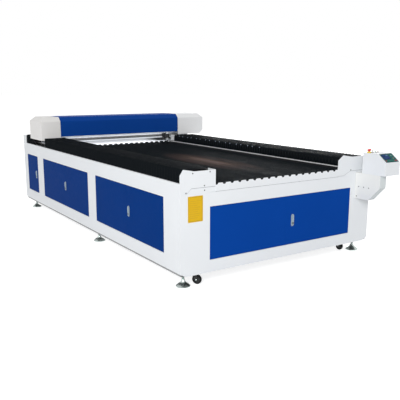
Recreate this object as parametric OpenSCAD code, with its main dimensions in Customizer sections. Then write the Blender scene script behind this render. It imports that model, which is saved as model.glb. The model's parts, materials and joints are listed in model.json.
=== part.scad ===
// Flatbed carbon dioxide laser cutting and engraving machine: a long sheet-metal cabinet with a slatted bed,
// a moving gantry that carries the laser tube, bellows over the two side rails and a small operator console.
// Millimetres. +X is to the right seen from the front, +Y to the back, +Z up. The floor is z = 0.

/* [Cabinet] */
// width of the cabinet
cab_w = 2000; // [1700:10:2400]
// length of the cabinet from front to back
cab_l = 3700; // [3100:10:4400]
// height of the top of the side panels
side_top = 800; // [740:5:900]
// thickness of the sheet-metal panels
sheet = 2; // [1.5:0.5:3]
// width of the cut bottom corners of the front and rear panels
corner_cut = 54; // [30:1:80]
// height of the cut bottom corners, which is also where the side panels end
corner_rise = 26; // [16:1:40]
// height of the sill under the door openings in the sides
side_sill = 136; // [110:1:180]
// height of the side panels above their door openings
side_head = 128; // [124:1:200]
// height of the sill under the front door opening
front_sill = 96; // [80:1:150]
// height of the front from the top of its door opening to the top of the side panels
front_head = 192; // [160:1:260]

/* [Doors] */
// clearance round each door leaf
door_gap = 3; // [3:0.5:4]
// depth of a folded door leaf
leaf_d = 18; // [16:1:18]
// thickness of the sheet of a door leaf
leaf_t = 1.5; // [1:0.5:2]
// radius of a hinge pin
pin_r = 3; // [2.5:0.5:3.5]
// radius of a latch spindle
spindle_r = 8; // [6:0.5:10]
// running clearance of pins and spindles, on the radius
fit = 0.06; // [0.03:0.01:0.1]

/* [Bed] */
// how far the top of the slats lies below the top of the side panels
bed_drop = 30; // [26:1:40]
// width of the left rail bay
bay_l = 250; // [240:5:300]
// width of the right rail bay
bay_r = 310; // [300:5:360]
// spacing of the slats
slat_pitch = 36; // [24:1:60]
// thickness of a slat
slat_t = 4; // [2:0.5:6]
// height of a slat
slat_h = 45; // [35:1:45]
// spacing of the teeth of the comb plates
tooth_pitch = 72; // [48:2:100]

/* [Bellows] */
// spacing of the folds
fold_pitch = 40; // [30:5:60]
// depth of a fold
fold_d = 12; // [8:1:14]
// height of the left bellows above the side panels
bellows_l = 103; // [84:1:103]
// height of the right bellows above the side panels
bellows_r = 70; // [60:1:97]
// height of the rail end covers above the side panels
end_h = 81; // [70:1:90]
// how far the outer corner of a rail end cover rises above the rest of it
end_peak = 18; // [4:1:24]
// height of the cut on the outer corner of a rail end cover
end_cut = 42; // [30:1:50]

/* [Gantry] */
// distance from the back of the gantry to the back of the cabinet
gantry_back = 370; // [340:5:500]
// depth of the gantry from front to back
gantry_d = 405; // [380:5:450]
// height of the bottom of the gantry cover above the side panels
cover_lift = 114; // [106:1:130]
// height of the upright face of the gantry cover
cover_face = 173; // [160:1:200]
// rise of the slope on the gantry cover
cover_rise = 47; // [40:1:70]
// depth of the slope on the gantry cover
cover_run = 50; // [40:1:70]
// how far the left end cap stands out beyond the cabinet
cap_out_l = 26; // [20:1:80]
// how far the right end cap stands out beyond the cabinet
cap_out_r = 140; // [80:1:180]
// width of the left end cap
cap_w_l = 226; // [210:1:300]
// width of the right end cap
cap_w_r = 383; // [330:1:420]
// width of the slope on the outer end of an end cap
cap_slope = 50; // [40:1:110]
// how far the end caps hang below the gantry cover
cap_drop = 36; // [8:1:40]
// radius of the laser tube
tube_r = 40; // [30:1:40]

/* [Console] */
// distance from the console's left face to the cabinet's right edge
console_in = 185; // [175:5:240]
// width of the console
console_w = 188; // [180:2:220]
// reach of the console in front of the cabinet
console_reach = 311; // [300:1:340]
// width of the console's arm
arm_w = 77; // [60:1:100]

/* [Feet, casters and ports] */
// radius of a levelling foot
foot_r = 56; // [40:1:60]
// radius of a caster wheel, which sets how high the cabinet stands
wheel_r = 37.5; // [30:0.5:50]
// height of the caster wheels above the floor, with the machine on its feet
wheel_lift = 4; // [3:0.5:6]
// radius of an exhaust duct, outside
duct_r = 75; // [60:1:85]
// how far an exhaust collar stands proud of the duct in front of it
collar_lip = 0.8; // [0.4:0.1:1.2]
// gap between the rear sheet and an exhaust collar
collar_seat = 2; // [1:0.5:6]
// length of an exhaust collar behind the rear panel
collar_out = 80; // [60:5:120]

/* [Hidden] */
$fn = 48;
e = 0.01;
sy = cab_l / 3700;
wheel_z = wheel_lift + wheel_r;
lower_cz = wheel_z + wheel_r + 27;
skirt_z = lower_cz - 4;
beam_z1 = side_top - 10;
beam_z0 = beam_z1 - 100;
bed_z = side_top - bed_drop;
door_z0 = skirt_z + side_sill;
door_z1 = side_top - side_head;
front_z0 = skirt_z + front_sill;
front_z1 = side_top - front_head;
side_z0 = skirt_z + corner_rise;
bellows_zl = side_top + bellows_l;
bellows_zr = side_top + bellows_r;
end_z = side_top + end_h;
comb_z0 = side_top - 82;
cover_z0 = side_top + cover_lift;
cover_z1 = cover_z0 + cover_face;
cover_z2 = cover_z1 + cover_rise;
cap_z = cover_z0 - cap_drop;
y_min = -console_reach;
y_max = cab_l + collar_out;
x_min = -cap_out_l;
x_max = cab_w + cap_out_r;
mid_x = (x_min + x_max) / 2;
mid_y = (y_min + y_max) / 2;

// door openings along the left and right sides, front to back
side_y = [[232 * sy, 1503 * sy], [1685 * sy, 2991 * sy], [3187 * sy, 3568 * sy]];
front_x = [262, cab_w - 246];
flange = 20;

// frame: lower tubes, posts and the two rail beams
low_x = 12;
low_z = lower_cz;
low_s = 60;
post_s = 50;
beam_x = 16;
beam_w = 160;
post_y = [24, 1594 * sy - 25, 3089 * sy - 25, cab_l - 74];
cross_y = [75, 1240 * sy, 2400 * sy, cab_l - 135];
foot_x = 83;
foot_y = [93, 1646 * sy, cab_l - 122];

// bed
bed_x0 = bay_l;
bed_x1 = cab_w - bay_r;
bed_y1 = cab_l - 615;
bar_z = bed_z - slat_h - 25;
n_slat = floor((bed_x1 - bed_x0 - 24) / slat_pitch) + 1;
slat_x0 = (bed_x0 + bed_x1) / 2 - (n_slat - 1) * slat_pitch / 2;
tray_z0 = bar_z - 140;
rail_x = 96;
deck_z = bed_z - 5;

// gantry
gy0 = cab_l - gantry_back - gantry_d;
gy1 = cab_l - gantry_back;
by0 = gy0 + 95;
by1 = by0 + 120;
bz0 = beam_z1 + 48;
bz1 = bz0 + 120;
tube_y = by1 + 6;
tube_z = bz1 + tube_r + 22;
head_x = cab_w - 385;
head_y = gy0 + 24;
cov_x0 = cap_w_l - cap_out_l + 2;
cov_x1 = x_max - cap_w_r - 2;
rib_x = [cov_x0 + 90, (cov_x0 + cov_x1) / 2, cov_x1 - 90];

// casters: pivot x, pivot y, turn
caster = [[175, 96, -58], [cab_w - 200, 105, 90]];
rear_caster = [[175, cab_l - 105], [cab_w - 175, cab_l - 105]];
trail = 32;
wheel_w = 25;

// console: side profile from the floor line, y then z
con_x0 = cab_w - console_in;
con_z = side_top - 61;
con_z1 = con_z + 180;
con_pts = [[-68, con_z], [-console_reach, con_z], [-console_reach, con_z + 114],
    [-console_reach + 89, con_z1], [-68, con_z1]];
arm_out = console_reach - 43;
arm_pts = [[0, con_z - 229], [-arm_out + 118, con_z - 229], [-arm_out, con_z - 107], [-arm_out, con_z],
    [0, con_z]];
slope_a = atan2(66, 89);
slope_l = sqrt(66 * 66 + 89 * 89);
switch_y = -110;
// each switch: its place along x and the radius of its hole
switch_list = [[con_x0 + 27, 11], [con_x0 + 68, 8], [con_x0 + 107, 8], [con_x0 + 137, 8]];
duct_x = [700, cab_w - 700];
end_w_l = bay_l + 61;
end_w_r = bay_r + 103;
vent_x = [cab_w / 2 - 520, cab_w / 2 + 240];
port_x = 200;
port_list = [[port_x, skirt_z + 198, 12.5], [port_x, skirt_z + 258, 6], [port_x, skirt_z + 298, 6],
    [port_x, skirt_z + 338, 6]];
duct_z = tray_z0 + duct_r + 1;

// which piece to draw

// ---------- helpers ----------

module at_origin() {
    translate([-mid_x, -mid_y, 0]) children();
}

module bx(a, b) {
    translate(a) cube([b[0] - a[0], b[1] - a[1], b[2] - a[2]]);
}

module mx() {
    translate([cab_w, 0, 0]) mirror([1, 0, 0]) children();
}

module both_x() {
    children();
    mx() children();
}

// square tube along X, Y or Z between two corners
module tube_x(a, b, t) {
    difference() {
        bx(a, b);
        bx([a[0] - 1, a[1] + t, a[2] + t], [b[0] + 1, b[1] - t, b[2] - t]);
    }
}

module tube_y(a, b, t) {
    difference() {
        bx(a, b);
        bx([a[0] + t, a[1] - 1, a[2] + t], [b[0] - t, b[1] + 1, b[2] - t]);
    }
}

module tube_z(a, b, t) {
    difference() {
        bx(a, b);
        bx([a[0] + t, a[1] + t, a[2] - 1], [b[0] - t, b[1] - t, b[2] + 1]);
    }
}

// prism with its profile given as [y, z], from x0 to x1
module prism_x(pts, x0, x1) {
    translate([x0, 0, 0]) rotate([90, 0, 90]) linear_extrude(x1 - x0) polygon(pts);
}

// prism with its profile given as [x, z], from y0 to y1
module prism_y(pts, y0, y1) {
    translate([0, y1, 0]) rotate([90, 0, 0]) linear_extrude(y1 - y0) polygon(pts);
}

// a polygon moved in by d, for convex outlines drawn either way round
function unit(v) = v / norm(v);
function turn_sum(p) = let (n = len(p))
    [for (i = [0:n - 1]) p[i][0] * p[(i + 1) % n][1] - p[(i + 1) % n][0] * p[i][1]];
function add(v, i = 0) = i >= len(v) ? 0 : v[i] + add(v, i + 1);
function meet(p, u, q, v) = let (k = u[0] * v[1] - u[1] * v[0])
    p + u * (((q[0] - p[0]) * v[1] - (q[1] - p[1]) * v[0]) / k);
function inset(p, d) = let (n = len(p), s = add(turn_sum(p)) > 0 ? 1 : -1) [for (i = [0:n - 1])
    let (a = p[(i + n - 1) % n], b = p[i], c = p[(i + 1) % n], u = unit(b - a), v = unit(c - b),
        nu = s * d * [-u[1], u[0]], nv = s * d * [-v[1], v[0]]) meet(b + nu, u, b + nv, v)];

// ---------- frame ----------

module frame_long_tubes() {
    color([0.33, 0.34, 0.36]) at_origin() both_x()
        tube_y([low_x, 6, low_z], [low_x + low_s, cab_l - 6, low_z + low_s], 4);
}

module frame_posts() {
    color([0.33, 0.34, 0.36]) at_origin() {
        both_x() for (y = post_y)
            tube_z([18, y, low_z + low_s], [18 + post_s, y + post_s, beam_z0], 3);
        for (y = cross_y)
            tube_x([low_x + low_s, y, lower_cz], [cab_w - low_x - low_s, y + 60, low_z + low_s], 3);
        tube_x([beam_x + beam_w, 12, bar_z - 8], [cab_w - beam_x - beam_w, 62, bar_z + 22], 3);
        tube_x([beam_x + beam_w, cab_l - 62, deck_z - 50], [cab_w - beam_x - beam_w, cab_l - 12, deck_z], 3);
        both_x() for (y = foot_y) difference() {
            bx([foot_x - 45, y - 45, low_z - 8], [foot_x + 45, y + 45, low_z]);
            translate([foot_x, y, low_z - 9]) cylinder(r = 10.5, h = 10);
        }
    }
}

module floor_pan() {
    color([0.6, 0.61, 0.62]) at_origin() difference() {
        bx([74, 78, low_z + low_s], [cab_w - 74, cab_l - 78, low_z + low_s + 1.5]);
        for (i = [0:5]) bx([600 + i * 150, 500, low_z], [640 + i * 150, 700, low_z + low_s + 10]);
    }
}

// ---------- panels ----------

module frame_edge(a, b, t) {
    difference() {
        bx([a[0], a[1] - t, a[2] - t], [b[0], b[1] + t, b[2] + t]);
        bx([a[0] - 1, a[1], a[2]], [b[0] + 1, b[1], b[2]]);
    }
}

module side_panel() {
    difference() {
        union() {
            bx([0, sheet, side_z0], [sheet, cab_l - sheet, side_top]);
            bx([0, 60, side_z0], [low_x, cab_l - 60, side_z0 + sheet]);
            bx([0, sheet, side_top - sheet], [beam_x, cab_l - sheet, side_top]);
            for (d = side_y) frame_edge([0, d[0], door_z0], [flange, d[1], door_z1], sheet);
        }
        for (d = side_y) bx([-1, d[0], door_z0], [flange + 1, d[1], door_z1]);
    }
}

module left_panel() {
    color([0.93, 0.93, 0.91]) at_origin() side_panel();
}

module right_panel() {
    color([0.93, 0.93, 0.91]) at_origin() mx() side_panel();
}

module front_panel() {
    a = end_w_l;
    b = cab_w - end_w_r;
    z = bed_z - 10;
    pts = [[corner_cut, skirt_z], [cab_w - corner_cut, skirt_z], [cab_w, side_z0],
        [cab_w, side_top], [b, side_top], [b, z], [a, z], [a, side_top], [0, side_top],
        [0, side_z0]];
    color([0.93, 0.93, 0.92]) at_origin() difference() {
        union() {
            prism_y(pts, 0, sheet);
            bx([120, 0, skirt_z], [cab_w - 120, 24, skirt_z + sheet]);
            difference() {
                bx([front_x[0] - sheet, 0, front_z0 - sheet],
                    [front_x[1] + sheet, flange, front_z1 + sheet]);
                bx([front_x[0], -1, front_z0], [front_x[1], flange + 1, front_z1]);
            }
        }
        bx([front_x[0], -1, front_z0], [front_x[1], flange + 1, front_z1]);
        translate([con_x0 + arm_w / 2, -1, con_z - 49]) rotate([-90, 0, 0]) cylinder(r = 20, h = 6);
    }
}

module rear_panel() {
    pts = [[corner_cut, skirt_z], [cab_w - corner_cut, skirt_z], [cab_w, side_z0],
        [cab_w, side_top], [0, side_top], [0, side_z0]];
    color([0.93, 0.93, 0.92]) at_origin() difference() {
        union() {
            prism_y(pts, cab_l - sheet, cab_l);
            bx([120, cab_l - 24, skirt_z], [cab_w - 120, cab_l, skirt_z + sheet]);
        }
        for (x = duct_x) translate([x, cab_l - 5, duct_z]) rotate([-90, 0, 0])
            cylinder(r = duct_r - collar_lip + 0.5, h = 10);
        for (i = [0:9], x = vent_x)
            bx([x, cab_l - 5, skirt_z + 128 + i * 26], [x + 280, cab_l + 5, skirt_z + 138 + i * 26]);
        for (p = port_list) translate([p[0], cab_l - 5, p[1]]) rotate([-90, 0, 0])
            cylinder(r = p[2], h = 10);
    }
}

module service_panels() {
    color([0.05, 0.2, 0.55]) at_origin() mx() for (d = side_y) {
        w = d[1] - d[0];
        difference() {
            bx([0, d[0] + door_gap - 2, door_z0 + 1], [leaf_d, d[1] - door_gap + 2, door_z1 - 1]);
            bx([leaf_t, d[0] + door_gap, door_z0 + 3], [leaf_d + 1, d[1] - door_gap, door_z1 - 3]);
            for (k = w > 600 ? [0.27, 0.73] : [0.5], i = [0:7])
                bx([-1, d[0] + w * k - 100, door_z0 + 130 + i * 24],
                    [leaf_t + 1, d[0] + w * k + 100, door_z0 + 137 + i * 24]);
        }
        // spring clips that hold the panel in its opening
        for (y = [d[0], d[1] - 1.5], z = [door_z0 + 60, door_z1 - 84]) bx([8, y, z], [16, y + 1.5, z + 24]);
    }
}

// ---------- rails, bellows and covers ----------

module rail_beams() {
    color([0.33, 0.34, 0.36]) at_origin() both_x()
        tube_y([beam_x, 12, beam_z0], [beam_x + beam_w, cab_l - 12, beam_z1], 5);
}

module linear_rails() {
    color([0.62, 0.63, 0.65]) at_origin() both_x() difference() {
        translate([rail_x, 0, beam_z1]) prism_y([[-10, 0], [10, 0], [10, 7], [8, 9], [8, 14], [10, 16],
            [10, 20], [-10, 20], [-10, 16], [-8, 14], [-8, 9], [-10, 7]], 60, cab_l - 110);
    }
}

// folded cover over a rail: an upside-down channel whose folds run round it
module bellows(x0, x1, za, zb, zt, ya, yb, n) {
    c = 14;
    t = 3;
    step = (yb - ya) / (2 * n);
    function ring(y, d) = [
        [x0 + d, y, za], [x0 + d, y, zt - c - d], [x0 + c + d, y, zt - d], [x1 - c - d, y, zt - d],
        [x1 - d, y, zt - c - d], [x1 - d, y, zb], [x1 - d - t, y, zb], [x1 - d - t, y, zt - c - d - 1],
        [x1 - c - d - 1, y, zt - d - t], [x0 + c + d + 1, y, zt - d - t], [x0 + d + t, y, zt - c - d - 1],
        [x0 + d + t, y, za]];
    pts = [for (i = [0:2 * n]) each ring(ya + i * step, i % 2 == 0 ? 0 : fold_d)];
    m = 12;
    sides = [for (i = [0:2 * n - 1], j = [0:m - 1])
        [i * m + j, i * m + (j + 1) % m, (i + 1) * m + (j + 1) % m, (i + 1) * m + j]];
    front = [[0, 11, 10, 1], [1, 10, 9, 2], [2, 9, 8, 3], [3, 8, 7, 4], [4, 7, 6, 5]];
    back = [for (q = front) [for (k = [3:-1:0]) q[k] + 2 * n * m]];
    polyhedron(points = pts, faces = concat(sides, front, back), convexity = 12);
}

module front_bellows() {
    n = floor((gy0 - 12) / fold_pitch);
    color([0.05, 0.055, 0.06]) at_origin() {
        bellows(6, bay_l, side_top + 1, beam_z1 + 5, bellows_zl, sheet, gy0 - 2, n);
        bellows(bed_x1, cab_w - 6, beam_z1 + 5, side_top + 1, bellows_zr, sheet, gy0 - 2, n);
    }
}

module rear_bellows() {
    color([0.05, 0.055, 0.06]) at_origin() {
        bellows(6, bay_l, side_top + 1, beam_z1 + 5, bellows_zl, gy1, cab_l - 100, 12);
        bellows(bed_x1, cab_w - 6, beam_z1 + 5, side_top + 1, bellows_zr, gy1, cab_l - 100, 12);
    }
}

// front plate of a rail end cover: its left corner is cut by c and stands higher, up to x0 + s
module end_cover(x0, x1, low, run, c, s) {
    z = side_top - 78;
    top = end_z + end_peak;
    prism_y([[x0, z], [x0 + low, z], [x0 + low + run, z + 36], [x1, z + 36],
        [x1, end_z], [x0 + s, end_z], [x0 + c, top], [x0, top - end_cut]], -sheet, 0);
}

module rail_end_covers() {
    rz = side_top + end_h + 12;
    color([0.93, 0.93, 0.92]) at_origin() {
        // front left, with a side wall that is folded back beside the bellows
        union() {
            end_cover(0, end_w_l, 59, 38, 28, 126);
            bx([end_w_l - sheet, -sheet, side_top + 6], [end_w_l, 98, end_z]);
            bx([20, -1, side_top + 6], [bay_l - 12, sheet, end_z - 3]);
        }
        // front right
        union() {
            end_cover(cab_w - end_w_r, cab_w, 75, 75, 59, 163);
            bx([bed_x1 + 12, -1, side_top + 6], [cab_w - 20, sheet, end_z - 3]);
        }
        // rear pair: a box that closes the rail bay
        both_x() difference() {
            bx([0, cab_l - 100, side_top], [bay_l - 2, cab_l, rz]);
            bx([sheet, cab_l - 98, side_top - 1], [bay_l - 2 - sheet, cab_l - sheet, rz - sheet]);
        }
    }
}

// ---------- bed ----------

module comb(x0, x1, y0, y1, zb, zt) {
    n = floor((x1 - x0) / tooth_pitch);
    s = x0 + ((x1 - x0) - n * tooth_pitch) / 2;
    difference() {
        bx([x0, y0, zb], [x1, y1, zt]);
        for (i = [0:n]) translate([s + i * tooth_pitch, 0, zt])
            prism_y([[-17, 1], [17, 1], [17, -1], [9, -12], [-9, -12], [-17, -1]], y0 - 1, y1 + 1);
    }
}

module comb_plates() {
    a = beam_x + beam_w + 4;
    color([0.93, 0.93, 0.92]) at_origin() {
        difference() {
            comb(end_w_l - 69, bed_x1, -4, 0, comb_z0, bed_z + 9);
            bx([0, -5, side_top - 80], [end_w_l + 1, 1, side_top]);
            bx([cab_w - end_w_r - 1, -5, side_top - 80], [cab_w, 1, side_top]);
        }
        // rear comb and the deck plate under the parked gantry
        union() {
            comb(a, cab_w - a, bed_y1 + 15, bed_y1 + 18, deck_z - 30, bed_z + 13);
            bx([a, bed_y1 + 17, deck_z], [cab_w - a, cab_l - sheet, deck_z + 3]);
            bx([a - 4, bed_y1 + 200, deck_z - 15], [cab_w - a + 4, bed_y1 + 240, deck_z + 1]);
        }
    }
}

module slats() {
    color([0.07, 0.07, 0.075]) at_origin() for (i = [0:n_slat - 1])
        bx([slat_x0 + i * slat_pitch - slat_t / 2, 6, bed_z - slat_h],
            [slat_x0 + i * slat_pitch + slat_t / 2, bed_y1 + 10, bed_z]);
}

module slat_bars() {
    color([0.3, 0.31, 0.33]) at_origin() for (k = [0:6]) {
        y = 90 + k * (bed_y1 - 150) / 6;
        tube_x([beam_x + beam_w, y, bar_z], [cab_w - beam_x - beam_w, y + 30, bar_z + 25], 2);
    }
}

module bed_ledges() {
    y1 = bed_y1 - 60;
    color([0.93, 0.93, 0.92]) at_origin() {
        difference() {
            bx([beam_x + beam_w, 4, beam_z1 - 26], [bay_l + 2, y1, beam_z1]);
            bx([beam_x + beam_w - 1, 3, beam_z1 - 27], [bay_l, y1 + 1, beam_z1 - 2]);
        }
        difference() {
            bx([bed_x1 - 2, 4, beam_z1 - 26], [cab_w - beam_x - beam_w, y1, beam_z1]);
            bx([bed_x1, 3, beam_z1 - 27], [cab_w - beam_x - beam_w + 1, y1 + 1, beam_z1 - 2]);
        }
    }
}

module fume_tray() {
    color([0.2, 0.2, 0.21]) at_origin() difference() {
        union() {
            bx([bed_x0 - 20, 70, tray_z0], [bed_x1 + 20, bed_y1 - 10, bar_z - 2]);
            bx([bed_x0 - 40, 70, bar_z - 2], [bed_x1 + 40, bed_y1 - 10, bar_z]);
        }
        bx([bed_x0 - 18, 72, tray_z0 + 2], [bed_x1 + 18, bed_y1 - 12, bar_z + 1]);
        for (x = duct_x) translate([x, bed_y1 - 20, duct_z]) rotate([-90, 0, 0])
            cylinder(r = duct_r - 12, h = 20);
    }
}

module exhaust_ducts() {
    color([0.72, 0.73, 0.75]) at_origin() for (x = duct_x)
        translate([x, bed_y1 - 10, duct_z]) rotate([-90, 0, 0]) difference() {
            union() {
                cylinder(r = duct_r - collar_lip, h = y_max - bed_y1 + 10, $fn = 64);
                translate([0, 0, cab_l + collar_seat - bed_y1 + 10])
                    cylinder(r = duct_r, h = y_max - cab_l - collar_seat, $fn = 64);
            }
            translate([0, 0, -1]) cylinder(r = duct_r - 2, h = y_max - bed_y1 + 12, $fn = 64);
        }
}

module rear_ports() {
    color([0.12, 0.12, 0.13]) at_origin() {
        // cable gland for the mains supply
        translate([port_x, cab_l, port_list[0][1]]) rotate([-90, 0, 0]) difference() {
            union() {
                translate([0, 0, -12]) cylinder(r = 12.4, h = 12);
                cylinder(r = 20, h = 8, $fn = 6);
                translate([0, 0, 8]) cylinder(r = 15, h = 18);
            }
            translate([0, 0, -13]) cylinder(r = 6, h = 45);
        }
        // two cooling-water spigots and one for air
        for (i = [1:3]) translate([port_x, cab_l, port_list[i][1]]) rotate([-90, 0, 0]) difference() {
            union() {
                translate([0, 0, -12]) cylinder(r = 5.9, h = 12);
                cylinder(r = 10, h = 6, $fn = 6);
                translate([0, 0, 6]) cylinder(r = 5, h = 24);
            }
            translate([0, 0, -13]) cylinder(r = 3, h = 50);
        }
    }
}

// ---------- feet and casters ----------

module levelling_feet() {
    r = foot_r;
    pad = low_z - 8;
    color([0.66, 0.68, 0.68]) at_origin() both_x() for (y = foot_y) translate([foot_x, y, 0])
        rotate_extrude($fn = 64) polygon([[0, 0], [r, 0], [r, 7], [r - 3, 11], [r - 8, 14], [r - 14, 20],
            [30, 27], [22, 33], [16, 42], [13, 50], [10, 54], [10, pad - 12], [18, pad - 12], [18, pad],
            [10, pad], [10, pad + 7.5], [0, pad + 7.5]]);
}

module caster_fork(p) {
    translate([p[0], p[1], 0]) rotate([0, 0, p[2]]) difference() {
        union() {
            // crown with its race, bored for the king pin
            translate([0, 0, lower_cz - 16]) cylinder(r = 24, h = 7);
            bx([-24, -17, lower_cz - 24], [trail + 8, 17, lower_cz - 16]);
            for (s = [0, 1]) mirror([0, s, 0])
                prism_y([[-14, lower_cz - 18], [trail + 8, lower_cz - 18], [trail + 10, wheel_z - 6],
                    [trail + 6, wheel_z - 10], [trail - 6, wheel_z - 10]], -17, -14);
        }
        translate([0, 0, lower_cz - 30]) cylinder(r = 6 + fit, h = 30);
        translate([trail, 20, wheel_z]) rotate([90, 0, 0]) cylinder(r = 4 + fit, h = 40);
        translate([trail, 13.5, wheel_z]) rotate([90, 0, 0]) cylinder(r = wheel_r + 2, h = 27, $fn = 64);
    }
}

module wheel_solid() {
    r = wheel_r;
    w = wheel_w;
    rotate([90, 0, 0]) translate([0, 0, -w / 2]) rotate_extrude($fn = 64)
        polygon([[0, -5.5], [4, -5.5], [4, 0], [11, 0], [11, 4], [r - 13, 6], [r - 10, 2], [r - 3, 1],
            [r, 5], [r, w - 5], [r - 3, w - 1], [r - 10, w - 2], [r - 13, w - 6], [11, w - 4], [11, w],
            [4, w], [4, w + 5.5], [0, w + 5.5]]);
}

module wheel_at(p) {
    color([0.05, 0.05, 0.055]) at_origin() translate([p[0], p[1], 0]) rotate([0, 0, p[2]])
        translate([trail, 0, wheel_z]) wheel_solid();
}

module caster_fork_l() {
    color([0.07, 0.07, 0.075]) at_origin() caster_fork(caster[0]);
}

module caster_fork_r() {
    color([0.07, 0.07, 0.075]) at_origin() caster_fork(caster[1]);
}

module wheel_fl() {
    wheel_at(caster[0]);
}

module wheel_fr() {
    wheel_at(caster[1]);
}

module wheel_rl() {
    wheel_at([rear_caster[0][0], rear_caster[0][1] + trail, -90]);
}

module wheel_rr() {
    wheel_at([rear_caster[1][0], rear_caster[1][1] + trail, -90]);
}

module caster_mounts() {
    color([0.1, 0.1, 0.105]) at_origin() {
        for (p = caster) translate([p[0], p[1], 0]) {
            bx([-42, -30, lower_cz - 4], [42, 30, lower_cz]);
            translate([0, 0, lower_cz - 8.8]) cylinder(r = 20, h = 5);
            translate([0, 0, lower_cz - 29]) cylinder(r = 6, h = 27);
        }
        // the rear casters do not swivel
        for (p = rear_caster) translate([p[0], p[1], 0]) difference() {
            union() {
                bx([-42, -30, lower_cz - 4], [42, 30, lower_cz]);
                for (s = [0, 1]) mirror([s, 0, 0])
                    prism_x([[-26, lower_cz - 4], [26, lower_cz - 4], [8, wheel_z - 9], [-8, wheel_z - 9]],
                        -17, -14);
            }
            translate([-20, 0, wheel_z]) rotate([0, 90, 0]) cylinder(r = 4 + fit, h = 40);
        }
    }
}

// ---------- doors and latches ----------

// a folded leaf lying in the plane x = 0, hinged at its low-y edge, with its outside towards -X
module leaf(w, h, latch_u, latch_v) {
    difference() {
        union() {
            difference() {
                bx([0, 0, 0], [leaf_d, w, h]);
                bx([leaf_t, leaf_t, leaf_t], [leaf_d + 1, w - leaf_t, h - leaf_t]);
            }
            for (z = [0, h - 14]) bx([0.5, 0.5, z], [11, 11, z + 14]);
            if (latch_u > 0) translate([0, latch_u, latch_v]) rotate([0, 90, 0])
                cylinder(r = spindle_r + 6, h = leaf_d);
        }
        translate([6, 6, -1]) cylinder(r = pin_r + fit, h = 14);
        translate([6, 6, h - 13]) cylinder(r = pin_r + fit, h = 14);
        if (latch_u > 0) translate([-1, latch_u, latch_v]) rotate([0, 90, 0])
            cylinder(r = spindle_r + fit, h = leaf_d + 2);
    }
}

// quarter-turn latch: grip outside, spindle through the leaf, arm behind it
module latch() {
    translate([-10, -12, -40]) cube([7, 24, 80]);
    translate([-10, 0, 0]) rotate([0, 90, 0]) cylinder(r = spindle_r, h = 10 + leaf_d + 4);
    bx([leaf_d + 1, -8, -34], [leaf_d + 4, 8, 8]);
}

function side_mid(i) = (side_y[i][0] + side_y[i][1]) / 2;
leaf_h = door_z1 - door_z0 - 2 * door_gap;
leaf_z = door_z0 + door_gap;
latch_in = 48;
latch_h = leaf_h / 2;

// leaf hinged at its front edge
module leaf_front(i, latched) {
    w = side_mid(i) - 1 - side_y[i][0] - door_gap;
    color([0.05, 0.2, 0.55]) at_origin() translate([0, side_y[i][0] + door_gap, leaf_z])
        leaf(w, leaf_h, latched ? w - latch_in : 0, latch_h);
}

// leaf hinged at its back edge
module leaf_back(i) {
    w = side_y[i][1] - door_gap - side_mid(i) - 1;
    color([0.05, 0.2, 0.55]) at_origin() translate([0, side_y[i][1] - door_gap, leaf_z]) mirror([0, 1, 0])
        leaf(w, leaf_h, 0, latch_h);
}

module door_left_a() {
    leaf_front(0, true);
}

module door_left_b() {
    leaf_back(0);
}

module door_left_c() {
    leaf_front(1, true);
}

module door_left_d() {
    leaf_back(1);
}

module door_left_e() {
    w = side_y[2][1] - side_y[2][0] - 2 * door_gap;
    color([0.05, 0.2, 0.55]) at_origin() translate([0, side_y[2][1] - door_gap, leaf_z]) mirror([0, 1, 0])
        leaf(w, leaf_h, w - 56, latch_h);
}

front_mid = (front_x[0] + front_x[1]) / 2;
front_h = front_z1 - front_z0 - 2 * door_gap;
front_in = 74;
front_v = front_h / 2 - 2;

module door_front_l() {
    w = front_mid - 1 - front_x[0] - door_gap;
    color([0.05, 0.2, 0.55]) at_origin() translate([front_x[0] + door_gap, 0, front_z0 + door_gap])
        mirror([1, -1, 0]) leaf(w, front_h, 0, 0);
}

module door_front_r() {
    w = front_x[1] - door_gap - front_mid - 1;
    color([0.05, 0.2, 0.55]) at_origin() translate([front_x[1] - door_gap, 0, front_z0 + door_gap])
        mirror([1, 0, 0]) mirror([1, -1, 0]) leaf(w, front_h, w - front_in, front_v);
}

module side_latch(y) {
    color([0.7, 0.71, 0.72]) at_origin() translate([0, y, leaf_z + latch_h]) latch();
}

module latch_left_a() {
    side_latch(side_mid(0) - 1 - latch_in);
}

module latch_left_c() {
    side_latch(side_mid(1) - 1 - latch_in);
}

module latch_left_e() {
    side_latch(side_y[2][0] + door_gap + 56);
}

module latch_front() {
    color([0.7, 0.71, 0.72]) at_origin()
        translate([front_mid + 1 + front_in, 0, front_z0 + door_gap + front_v]) mirror([1, -1, 0]) latch();
}

module pin_pair(z0, z1) {
    for (z = [z0, z1 - door_gap - 12]) translate([0, 0, z]) cylinder(r = pin_r, h = door_gap + 12);
}

module hinge_pins() {
    color([0.7, 0.71, 0.72]) at_origin() {
        for (i = [0:2]) translate([6, side_y[i][1] - door_gap - 6, 0]) pin_pair(door_z0, door_z1);
        for (i = [0:1]) translate([6, side_y[i][0] + door_gap + 6, 0]) pin_pair(door_z0, door_z1);
        for (x = [front_x[0] + door_gap + 6, front_x[1] - door_gap - 6]) translate([x, 6, 0])
            pin_pair(front_z0, front_z1);
    }
}

module screw_y(x, z, y) {
    translate([x, y, z]) rotate([90, 0, 0]) {
        cylinder(r = 5, h = 1.4, $fn = 24);
        cylinder(r = 3.6, h = 2.6, $fn = 24);
    }
}

module screw_x(x, y, z) {
    translate([x, y, z]) rotate([0, -90, 0]) {
        cylinder(r = 5, h = 1.4, $fn = 24);
        cylinder(r = 3.6, h = 2.6, $fn = 24);
    }
}

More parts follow.
